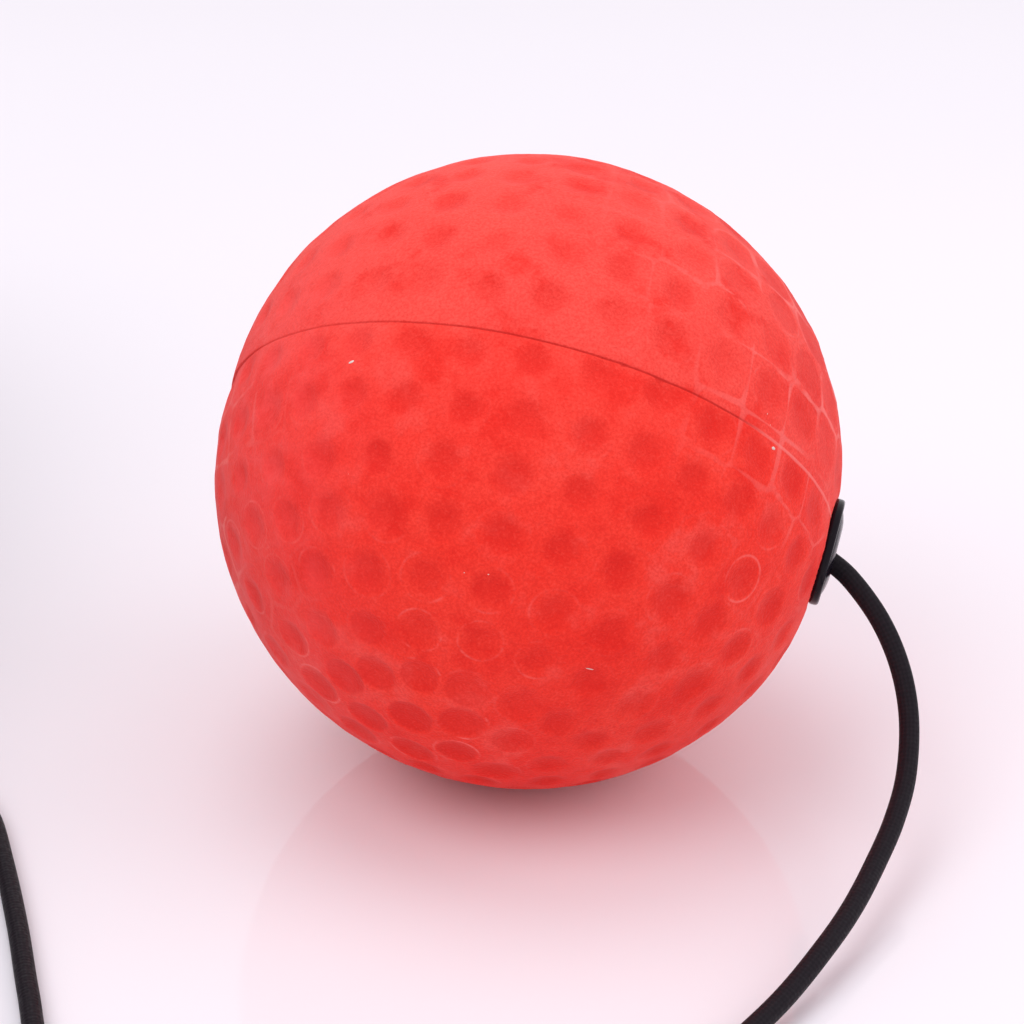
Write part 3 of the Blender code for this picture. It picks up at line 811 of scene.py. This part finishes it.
def recessed(offset):
    """Lowers the points round the plug to its recess, and says which are over its hole."""
    axis = np.array(PLUG_AXIS)
    high = offset @ axis
    out = np.linalg.norm(offset - high[:, None] * axis, axis=1)
    rim = RECESS_RADIUS + RECESS_EDGE
    near = (out < rim) & (high > 0)
    share = np.clip((rim - out) / 0.6, 0, 1)
    lowered = np.minimum(high, RECESS_HEIGHT + (high - RECESS_HEIGHT) * (1 - share))
    offset += np.where(near, lowered - high, 0.0)[:, None] * axis
    return offset, (out < HOLE_RADIUS) & (high > 0)


def foam_values(ways, lat, pit, gap, crisp, honeycomb, which, count):
    """What the foam's paint reads at each point of the ball."""
    # How dark each dimple's painted shade is: fainter above the parting line.
    shade = RANDOM.uniform(0.30, 0.82, count)[which]
    # How pale each dimple's rim is: partly wear, partly painted highlight, most where the moulding is
    # crisp and on the left.
    rub_and_highlight = RANDOM.uniform(0.1, 1.3, count).clip(0.0, 1.0)[which]
    rubbed = np.maximum(crisp, 0.7 * nearness(ways, (-0.93, -0.33, -0.10), 28))
    # The dimples' painted shade fades in one patch low on the front.
    pit_shade_faded = 1 - 0.5 * nearness(ways, (-0.05, -0.97, -0.20), 17)
    shade = np.where(lat < 0, 0.76 * shade, 0.40 + 0.50 * shade)
    nick = np.maximum(nearness(ways, toward(298, 37), 1.0), nearness(ways, toward(291, 41), 0.7))
    x, y, z = ways.T
    return {
        "pit": pit,
        "seam": np.radians(lat) * BALL_RADIUS * (1 - 0.8 * nick),
        # How dark each dimple's painted shade is.
        "shade": shade * (0.80 + 0.20 * crisp) * pit_shade_faded,
        "crisp": crisp,
        # How pale each rim is: partly wear, partly painted highlight.
        "rub_and_highlight": rub_and_highlight * (0.08 + 0.92 * rubbed),
        "edge": np.abs(gap * BALL_RADIUS + 0.75 * noise_at(ways, 5.3)),
        # Pale web lines: partly flow marks in the skin, partly painted highlight.
        "web": honeycomb + nearness(ways, (-0.97, -0.2, 0.0), 24),
        # Where the parting line's painted shade falls.
        "line": 0.5 + 0.5 * smooth(x, -0.75, 0.0),
        # Where the flash's painted highlight falls.
        "flash": smooth(x, 0.60, 0.76),
        # Painted shade towards the underside.
        "under": 0.7 * smooth(-z, 0.30, 0.85),
        # Painted light towards the top and above the parting line.
        "top": 0.26 * smooth(-lat, -0.2, 0.2) + 0.36 * smooth(z, 0.1, 0.95),
        # Partly dust, partly painted sheen on the left side.
        "dust": 0.75 * smooth(-x, 0.30, 0.95) * smooth(-y, -0.5, 0.3),
    }


def make_ball():
    lats = latitudes()
    ways = ball_ways(lats)
    lat = np.repeat(lats, BALL_COLUMNS)
    centres = dimple_centres()
    which, chord, other = nearest_dimples(ways, centres)
    honeycomb = nearness(ways, (0.90, -0.10, 0.42), 34)
    size = RANDOM.uniform(0.88, 1.08, len(centres))[which] * (1 + 0.30 * honeycomb)
    pit = 2 * np.arcsin(chord / 2) * BALL_RADIUS / (DIMPLE_RADIUS * size)
    crisp = crispness(ways)
    radius = ball_radius(ways, lat, pit, crisp, honeycomb)
    radius += 0.09 * noise_at(ways, 5.0) + 0.035 * noise_at(ways, 23.0)
    offset, over_hole = recessed(ways * radius[:, None])
    centre = np.array(BALL_CENTRE)
    points = centre + offset * MM
    points[:, 2] = np.maximum(points[:, 2], 0.00002)
    faces = [
        face for face in ring_faces(len(lats), BALL_COLUMNS) if not over_hole[list(face)].all()
    ]
    count = len(points)
    pole = np.array(SEAM_AXIS)
    ends = [centre - pole * (radius[0] * MM), centre + pole * (radius[-1] * MM)]
    for j in range(BALL_COLUMNS):
        k = (j + 1) % BALL_COLUMNS
        faces.append((count, k, j))
        faces.append((count + 1, count - BALL_COLUMNS + j, count - BALL_COLUMNS + k))
    ball = build("ball_skin", np.vstack([points, ends]), faces)
    values = foam_values(ways, lat, pit, other - chord, crisp, honeycomb, which, len(centres))
    for name, value in values.items():
        layer = ball.data.attributes.new(name, "FLOAT", "POINT")
        layer.data.foreach_set("value", np.append(value, [value[0], value[-1]]).astype(np.float32))
    ride(ball, foam_paint(), "foam_red", "ball_foam", body="ball")


def make_plug():
    """The plug's flange, with a rounded rim, a groove and a low dome round the cord's mouth."""
    outline = (
        (3.2, 22.0), (3.2, 30.72), (5.25, 30.72), (5.42, 30.80), (5.5, 30.98), (5.5, 31.42),
        (5.44, 31.60), (5.30, 31.71), (5.1, 31.75), (4.62, 31.75), (4.52, 31.68), (4.40, 31.68),
        (4.30, 31.77), (3.9, 31.92), (3.4, 32.05), (2.8, 32.14), (2.35, 32.14), (2.05, 32.03),
        (1.82, 31.80), (1.68, 31.4), (1.6, 30.6), (1.55, 29.0), (1.5, 22.0),
    )
    plug = lathe("plug_button", outline, BALL_CENTRE, PLUG_AXIS, 112, 35)
    ride(plug, plug_paint(), "plug_black", "ball_plug", body="ball")


def make_specks():
    """Crumbs and fluff on the foam: degrees round and up, length and width, and their turn."""
    specks = (
        (228, 38, 0.34, 0.12, 40), (321, 20, 0.26, 0.16, -30), (322, 26, 0.13, 0.07, 60),
        (257, 52, 0.55, 0.05, 50), (280, -11, 0.42, 0.05, 160), (263, 7, 0.07, 0.05, 0),
        (321, 27, 0.30, 0.05, 150), (259, 7, 0.07, 0.05, 0), (322, 24, 0.10, 0.06, 20),
        (236, 20, 0.10, 0.07, 0),
    )
    made = bmesh.new()
    for around, up, length, width, degrees in specks:
        way = toward(around, up)
        lat = math.degrees(math.asin(way.dot(SEAM_AXIS)))
        far = BALL_RADIUS - SEAM_PINCH * math.exp(-abs(lat) / SEAM_PINCH_SPREAD)
        spin = Matrix.Rotation(math.radians(degrees), 4, "Z")
        turn = way.to_track_quat("Z", "Y").to_matrix().to_4x4() @ spin
        place = Matrix.Translation(BALL_CENTRE + way * (far - 0.02) * MM) @ turn
        size = Matrix.Diagonal((length * MM, width * MM, 0.5 * width * MM, 1.0))
        crumb = bmesh.ops.create_icosphere(made, subdivisions=2, radius=1.0, matrix=place @ size)
        for vert in crumb["verts"]:
            vert.co += noise.noise_vector(vert.co * 6000.0) * width * 0.25 * MM
    lint = mesh_of(made, "ball_lint")
    lint.data.shade_smooth()
    ride(lint, lint_paint(), "foam_red", body="ball")


# ---- the headband's places and sections


def band_point(degrees, depth, height):
    turn = math.radians(degrees)
    rim = Vector((BAND_HALF_WIDTH * math.cos(turn), BAND_HALF_LENGTH * math.sin(turn), 0.0))
    out = Vector((BAND_HALF_LENGTH * math.cos(turn), BAND_HALF_WIDTH * math.sin(turn), 0.0))
    return BAND_CENTRE + rim + out.normalized() * depth + UP * height


def band_out(degrees, depth, height):
    """The way out of the band at a place on it."""
    step = band_point(degrees, depth + 0.001, height) - band_point(degrees, depth, height)
    return step.normalized()


def band_along(degrees, depth, height, step=0.1):
    """The way along the band at a place on it, towards an angle one step on."""
    return (band_point(degrees + step, depth, height) - band_point(degrees, depth, height)).normalized()


def from_ends(angle, span):
    return min(angle - span[0], span[1] - angle)


def within(span, inset):
    return span[0] + inset, span[1] - inset


def arc_length(first, second, depth):
    steps = 12
    places = [band_point(first + (second - first) * i / steps, depth, 0) for i in range(steps + 1)]
    return sum((b - a).length for a, b in zip(places, places[1:]))


def band_angles(span, spacing):
    """Angles about one spacing apart along the band, and how far along each one is."""
    fine = np.linspace(span[0], span[1], 721)
    run = distances([tuple(band_point(a, BAND_MIDDEPTH, 0)) for a in fine])
    wanted = np.linspace(0, run[-1], round(run[-1] / spacing) + 1)
    return np.interp(wanted, run, fine), wanted


def swept(name, span, spacing, section_at, sharp=None):
    """Sweeps a section of (depth, height) points round the headband. UVs are in metres."""
    angles, along = band_angles(span, spacing)
    rows = [[tuple(band_point(a, *corner)) for corner in section_at(a, s)] for a, s in zip(angles, along)]
    half = len(angles) // 2
    middle = section_at(angles[half], along[half])
    return lofted(name, rows, along, distances([*middle, middle[0]]), sharp)


def lump(seed, along, height, scale):
    return noise.noise(Vector((along * scale, height * scale, seed)))


def end_pinch(angle):
    """0 at the band's two ends, 1 away from them: the layers are sewn together there."""
    reach = 3.2
    share = min(1.0, max(0.0, from_ends(angle, BAND_SPAN) / reach))
    return math.sqrt(share * (2 - share))


def tape_squash(angle):
    return 0.45 + 0.55 * end_pinch(angle)


def layer_section(count, depth_at, back):
    """A layer between the tapes: a shaped face of so many points, and a back of one depth."""
    face = []
    for i in range(count):
        height = PAD_INSET + (BAND_HEIGHT - 2 * PAD_INSET) * i / (count - 1)
        crown = max(0.0, 1 - ((height - BAND_MIDDLE) / PAD_HALF_HEIGHT) ** 2)
        face.append((depth_at(height, crown), height))
    return face + [(back, height) for _, height in face[::-1]]


def outer_section(angle, along):
    """The padded fabric's outer skin, puffed a little between the tapes, and its thickness."""
    swell = end_pinch(angle)
    core = 0.0026

    def depth_at(height, crown):
        depth = 0.0048 + 0.00042 * crown + 0.00010 * lump(1.0, along, height, 130.0)
        depth += 0.00006 * lump(2.0, along, height, 420.0)
        return core + (depth - core) * (0.28 + 0.72 * swell)

    return layer_section(25, depth_at, 0.0014 + 0.0009 * (1 - swell))


def lining_section(angle, along):
    swell = end_pinch(angle)

    def depth_at(height, crown):
        depth = 0.0001 - 0.0002 * crown + 0.00008 * lump(3.0, along, height, 150.0)
        return depth + 0.0018 * (1 - swell)

    return layer_section(21, depth_at, 0.0012 + 0.0010 * (1 - swell))


def tape_section(fold, tip):
    """A folded tape's section with a rounded fold, from the inner leg's tip to the outer's."""
    sign = 1.0 if tip > fold else -1.0

    def section(angle, along):
        top = tip + sign * 0.00012 * lump(5.0 + sign, along, 0.0, 180.0)
        squash = tape_squash(angle)
        inner = BAND_MIDDEPTH + (-0.00105 - BAND_MIDDEPTH) * squash
        outer = BAND_MIDDEPTH + (0.00615 - BAND_MIDDEPTH) * squash
        half = (outer - inner) / 2
        centre = (outer + inner) / 2
        points = [(inner + 0.0001, top), (inner, top - sign * 0.0003)]
        for i in range(11):
            turn = math.pi * i / 10
            height = fold + sign * 0.0022 * (1 - math.sin(turn) ** 0.7)
            points.append((centre - half * math.cos(turn), height))
        points += [(outer, top - sign * 0.0003), (outer - 0.0001, top), (outer - TAPE_THICKNESS, top)]
        for i in range(7):
            turn = math.pi * (1 - i / 6)
            height = fold + sign * (0.0030 - 0.0018 * math.sin(turn))
            points.append((centre - (half - TAPE_THICKNESS) * math.cos(turn), height))
        points.append((inner + TAPE_THICKNESS, top))
        return points

    return section


def round_off(from_end, half, corner):
    """A strip's half width near an end whose corners are rounded."""
    if from_end >= corner:
        return half
    return half - corner + math.sqrt(max(0.0, corner**2 - (corner - from_end) ** 2))


def pad_section(depth, thick, half, edge=0.0005):
    """A flat strip's section with softened edges, as (depth, height) points."""
    low, high = BAND_MIDDLE - half, BAND_MIDDLE + half
    steps = np.linspace(low + edge, high - edge, 13)
    front = [(depth + thick, h) for h in steps]
    back = [(depth, h) for h in steps[::-1]]
    rim = depth + thick * 0.5
    return [(rim, low), *front, (rim, high), *back]


# ---- stitches


def stitch(made, point, way, out):
    """One thread stitch on a surface, its two ends sunk into it."""
    half_length, radius, sides = 0.00105, 0.00022, 6
    side = way.cross(out).normalized()
    rings = []
    for share, lift, thick in ((-1, -0.9, 0.35), (-0.82, 0.0, 0.85), (-0.3, 0.35, 1.0),
                               (0.3, 0.35, 1.0), (0.82, 0.0, 0.85), (1, -0.9, 0.35)):
        centre = point + way * (share * half_length) + out * (lift * radius)
        ring = []
        for k in range(sides):
            turn = math.tau * k / sides
            off = side * math.cos(turn) + out * math.sin(turn)
            ring.append(made.verts.new(centre + off * radius * thick))
        rings.append(ring)
    for low, high in zip(rings, rings[1:]):
        for k in range(sides):
            m = (k + 1) % sides
            made.faces.new((low[k], low[m], high[m], high[k]))
    made.faces.new(rings[0])
    made.faces.new(rings[-1][::-1])


def stitches_object(name, rows, thread, body="headband", slot="binding_tape"):
    """Stitches at rows of (point, direction, normal)."""
    made = bmesh.new()
    for places in rows:
        for place in places:
            stitch(made, *place)
    obj = mesh_of(made, name)
    obj.data.uv_layers.new(name="UVMap")
    ride(finish_mesh(obj), thread, slot, body=body)


def band_stitches(span, depth_at, height):
    """Stitch places along the band at a height; their depth depends on the angle."""
    places = []
    for angle in band_angles(span, 0.0027)[0]:
        depth = depth_at(angle)
        here, ahead = band_point(angle - 0.3, depth, height), band_point(angle + 0.3, depth, height)
        out = band_out(angle, depth, height)
        if depth < BAND_MIDDEPTH:
            out = -out
        places.append(((here + ahead) / 2, (ahead - here).normalized(), out))
    return places


def stitch_place(angle, depth, height, way=UP):
    return band_point(angle, depth, height), way, band_out(angle, depth, height)


# ---- the headband's pieces


def make_band(thread):
    cover = swept("band_cover", BAND_SPAN, 0.0016, outer_section)
    ride(cover, knit_paint(), "band_fabric", "band_outer", "band_foam")
    inside = swept("band_inside", BAND_SPAN, 0.0018, lining_section)
    ride(inside, mesh_paint(), "lining_mesh", "band_lining")
    tape = tape_paint()
    lower = swept("lower_tape", BAND_SPAN, 0.0016, tape_section(0.0, TAPE_REACH))
    upper = swept("upper_tape", BAND_SPAN, 0.0016, tape_section(BAND_HEIGHT, BAND_HEIGHT - TAPE_REACH))
    ride(lower, tape, "binding_tape", "bottom_binding")
    ride(upper, tape, "binding_tape", "top_binding")

    rows = []
    for height in (0.0080, BAND_HEIGHT - 0.0080):
        for side in (1, -1):

            def depth_at(angle, side=side):
                return BAND_MIDDEPTH + side * (0.0036 * tape_squash(angle) + 0.00005)

            rows.append(band_stitches(within(BAND_SPAN, 2.4), depth_at, height))
    stitches_object("tape_stitching", rows, thread)


def make_grips():
    """Two wavy ribs of silicone on the lining."""
    silicone = silicone_paint()
    for name, low in (("lower", 0.013), ("upper", 0.032)):

        def section(angle, along, low=low):
            half = GRIP_HALF * math.sqrt(min(1.0, max(0.02, from_ends(angle, GRIP_SPAN) / 2.0)))
            middle = low + GRIP_HALF + 0.0006 * math.sin(along * math.tau / 0.012)
            points = []
            for i in range(13):
                share = -1 + 2 * i / 12
                depth = -0.00015 - 0.00085 * math.sqrt(max(0.0, 1 - share**2))
                points.append((depth, middle + share * half))
            return points + [(0.0001, middle + (1 - 2 * i / 5) * half) for i in range(1, 5)]

        strip = swept(f"grip_{name}", GRIP_SPAN, 0.0010, section)
        ride(strip, silicone, "grip_silicone", f"grip_strip_{name}")


def make_front_patch(leather, thread):
    ends = (FOREHEAD - PATCH_HALF_ANGLE, FOREHEAD + PATCH_HALF_ANGLE)

    def section(angle, along):
        from_end = min(arc_length(end, angle, 0.006) for end in ends)
        half = max(0.0006, round_off(max(0.0, from_end), 0.0145, 0.006))
        return pad_section(PATCH_DEPTH, 0.00115 + 0.00015 * lump(8.0, along, 0, 90.0), half)

    patch = swept("forehead_patch", ends, 0.0010, section, sharp=60)
    ride(patch, leather, "patch_leather", "front_patch")

    # A row of stitches along each edge, with rounded corners
    straight, round_from, reach, corner = 0.0084, 0.0086, 0.0125, 3.3
    span = within(ends, 4.9)
    rows = [band_stitches(span, lambda angle: PATCH_TOP, BAND_MIDDLE + side * reach) for side in (-1, 1)]
    upright = []
    for end, turn in ((ends[0] + 1.6, 1), (ends[1] - 1.6, -1)):
        for k in range(8):
            upright.append(stitch_place(end, PATCH_TOP, BAND_MIDDLE - straight + 2 * straight * k / 7))
        for side in (-1, 1):
            for share in (1 / 3, 2 / 3):
                bend = share * math.pi / 2
                angle = end + turn * corner * (1 - math.cos(bend))
                height = BAND_MIDDLE + side * (round_from + (reach - round_from) * math.sin(bend))
                ahead = band_along(angle, PATCH_TOP, height, turn * 0.9)
                way = (ahead * share + UP * side * (1 - share)).normalized()
                upright.append(stitch_place(angle, PATCH_TOP, height, way))
    stitches_object("patch_stitching", [*rows, upright], thread, slot="patch_leather")


def make_eyelet():
    """A rolled metal eyelet, its flange outside and its ring inside the band."""
    centre = band_point(FOREHEAD, 0, BAND_MIDDLE)
    out = Vector((0, -1, 0))
    outer = (
        (1.62, -1.1), (1.62, 7.2), (1.78, 7.75), (2.2, 8.15), (2.9, 8.32), (3.8, 8.20), (4.6, 7.85),
        (5.2, 7.35), (5.45, 6.95), (5.3, 6.75), (4.6, 6.78), (3.0, 6.85), (2.55, 6.8), (2.55, -1.1),
    )
    inner = (
        (1.7, -1.5), (2.3, -2.1), (3.1, -2.35), (4.2, -2.1), (5.0, -1.6), (5.35, -1.1), (5.2, -0.9),
        (3.0, -0.9), (1.7, -1.2),
    )
    flange = lathe("eyelet_outside", outer, centre, out, 72, 45)
    ring = lathe("eyelet_inside", inner, centre, out, 72, 45)
    gunmetal = metal_paint("gunmetal", (0.22, 0.22, 0.24), 0.22)
    ride(flange, gunmetal, "eyelet_metal", "eyelet_flange")
    ride(ring, gunmetal, "eyelet_metal", "eyelet_washer")


def make_knot(braid):
    """A drawn-up overhand knot inside the eyelet, with its short melted end."""
    low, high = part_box("band_knot")
    centre = (Vector(low) + Vector(high)) / 2
    size, thickness, radius, steps = 0.00054, 0.00125, 0.00098, 96
    points = []
    for i in range(steps + 1):
        t = math.tau * i / steps
        x = (math.sin(t) + 2 * math.sin(2 * t)) * size
        z = (math.cos(t) - 2 * math.cos(2 * t)) * size
        points.append(tuple(centre + Vector((x, -math.sin(3 * t) * thickness, z))))
    knot = tube("knot", points, radius, 12)
    route = ((0, 0, 1.2), (0.5, 1.4, 1.9), (1.2, 2.9, 2.2), (1.7, 4.6, 1.9))
    tail_line = smooth_line([centre + Vector(p) * MM for p in route], 0.0004)
    tail = tube("knot_tail", tail_line, radius, 12, last=0.6)
    ride(knot, braid, "cord_black", "band_knot")
    ride(tail, braid, "cord_black")


def make_loops():
    """The closure's loop half: a woven base with a fuzz of small loops."""

    def section(angle, along):
        half = 0.0130 * min(1.0, 0.985 + from_ends(angle, LOOP_SPAN))
        return pad_section(PATCH_DEPTH, 0.0007, half, 0.0003)

    base = swept("loop_base", LOOP_SPAN, 0.0016, section)
    strand = ((0.00009, 0.0), (-0.00005, 0.00008), (-0.00005, -0.00008))
    columns, bends, half = 21, 6, 0.0122
    points, faces = [], []
    angles, _ = band_angles(within(LOOP_SPAN, 0.5), 0.00115)
    for i, angle in enumerate(angles):
        for j in range(columns):
            height = BAND_MIDDLE - half + 2 * half * (j + 0.5 * (i % 2)) / (columns - 0.5)
            shift = RANDOM.normal(0, 0.16, 2)
            spot = angle + shift[0] * 0.35
            height += shift[1] * MM
            tall = 0.00042 + 0.00012 * RANDOM.random()
            lean = RANDOM.uniform(-0.0006, 0.0006)
            turn = RANDOM.uniform(0, math.pi)
            faces += ring_faces(bends, len(strand), len(points))
            for k in range(bends):
                bend = math.pi * k / (bends - 1)
                wide = 0.00052 * math.cos(bend)
                up = 0.0060 + tall * math.sin(bend)
                foot = band_point(spot, up, height + wide * math.sin(turn) + lean * math.sin(bend))
                way = band_along(spot, up, height)
                foot += way * wide * math.cos(turn)
                points += [foot + way * a + UP * b for a, b in strand]
    pile = build("loop_pile", points, faces)
    fuzz = fuzz_paint()
    ride(base, fuzz, "loop_pile", "loop_patch")
    ride(pile, fuzz, "loop_pile")


def make_closure(leather, thread):
    """The tab, sewn to the band's outer end, which lies over the loops; only its stitches ride on the
    closure.
    """

    def depth_at(angle):
        return 0.0017 + 0.00675 * smooth(angle, *TAB_LIFT)

    def section(angle, along):
        from_end = arc_length(angle, TAB_SPAN[1], 0.006) if angle < TAB_SPAN[1] else 0.0
        half = max(0.0006, round_off(from_end, 0.0145, 0.011))
        return pad_section(depth_at(angle), 0.00175, half, 0.0006)

    tab = swept("closure_strap", TAB_SPAN, 0.0010, section, sharp=60)
    leather.on(tab)
    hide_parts("closure_tab")
    start, end = band_point(60.6, 0.0026, BAND_MIDDLE), band_point(65.0, 0.003, BAND_MIDDLE)
    tuple(start)
    tuple(end)
    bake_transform(tab)

    def surface(angle):
        return depth_at(angle) + 0.00178

    half = 0.0125
    rows = [band_stitches((67.0, TAB_TIP_SEAM), surface, BAND_MIDDLE + side * half) for side in (-1, 1)]

    def tip_angle(share):
        return TAB_TIP_SEAM + TAB_TIP_BULGE * math.sqrt(max(0.0, 1 - min(1.0, abs(share)) ** 2.2))

    tip = []
    for k in range(1, 12):
        share = -1 + 2 * k / 12
        angle, height = tip_angle(share), BAND_MIDDLE + share * half
        point = band_point(angle, surface(angle), height)
        onwards, ahead = tip_angle(share + 0.04), BAND_MIDDLE + (share + 0.04) * half
        way = (band_point(onwards, surface(onwards), ahead) - point).normalized()
        tip.append(stitch_place(angle, surface(angle), height, way))
    seams = []
    for k in range(9):
        height = BAND_MIDDLE - 0.0115 + 0.023 * k / 8
        at_edge = k in (0, 8)
        for angle in TAB_SEAMS[:2] if at_edge else TAB_SEAMS:
            seams.append(stitch_place(angle, surface(angle), height))
    stitches_object("tab_stitching", [*rows, tip, seams], thread, "closure", "patch_leather")


def make_hooks():
    """The closure's hook half: a thin base with rows of small hooks, under the tab."""

    def section(angle, along):
        return pad_section(0.00795, 0.0005, 0.0115, 0.0002)

    base = swept("hook_base", HOOK_SPAN, 0.0016, section)
    # Up each hook: how far it leans over, how far it stands out, and its thickness
    shape = (
        (0.0, 0.0, 1.0), (0.0, 0.35, 0.85), (0.05, 0.7, 0.7), (0.25, 0.95, 0.55), (0.55, 0.9, 0.45),
        (0.7, 0.68, 0.3),
    )
    corners = ((1, 1), (-1, 1), (-1, -1), (1, -1))
    columns, half = 18, 0.0108
    points, faces = [], []
    angles, _ = band_angles(within(HOOK_SPAN, 0.6), 0.0013)
    for index, angle in enumerate(angles):
        for j in range(columns):
            height = BAND_MIDDLE - half + 2 * half * j / (columns - 1)
            turn = 1 if (j + index) % 2 else -1
            way = band_along(angle, 0.008, height)
            faces += ring_faces(len(shape), len(corners), len(points))
            for over, down, thick in shape:
                centre = band_point(angle, HOOK_DEPTH - down * 0.00075, height + turn * over * 0.0006)
                points += [centre + (way * a + UP * b) * 0.00011 * thick for a, b in corners]
    hooks = build("hook_rows", points, faces)
    nylon = hook_paint()
    ride(base, nylon, "hook_black", "hook_patch", body="closure")
    ride(hooks, nylon, "hook_black", body="closure")


def paint_hidden(braid):
    """The washer and the knot inside the ball stay as the CAD has them."""
    metal_paint("washer_steel", (0.56, 0.56, 0.58), 0.3).on(frame["nodes"]["ball_washer"])
    braid.on(frame["nodes"]["ball_knot"])


def main():
    make_camera()
    braid = make_cord()
    make_studio()
    make_ball()
    make_plug()
    make_specks()
    thread = thread_paint()
    leather = leather_paint()
    make_band(thread)
    make_grips()
    make_front_patch(leather, thread)
    make_eyelet()
    make_knot(braid)
    make_loops()
    make_closure(leather, thread)
    make_hooks()
    paint_hidden(braid)


main()
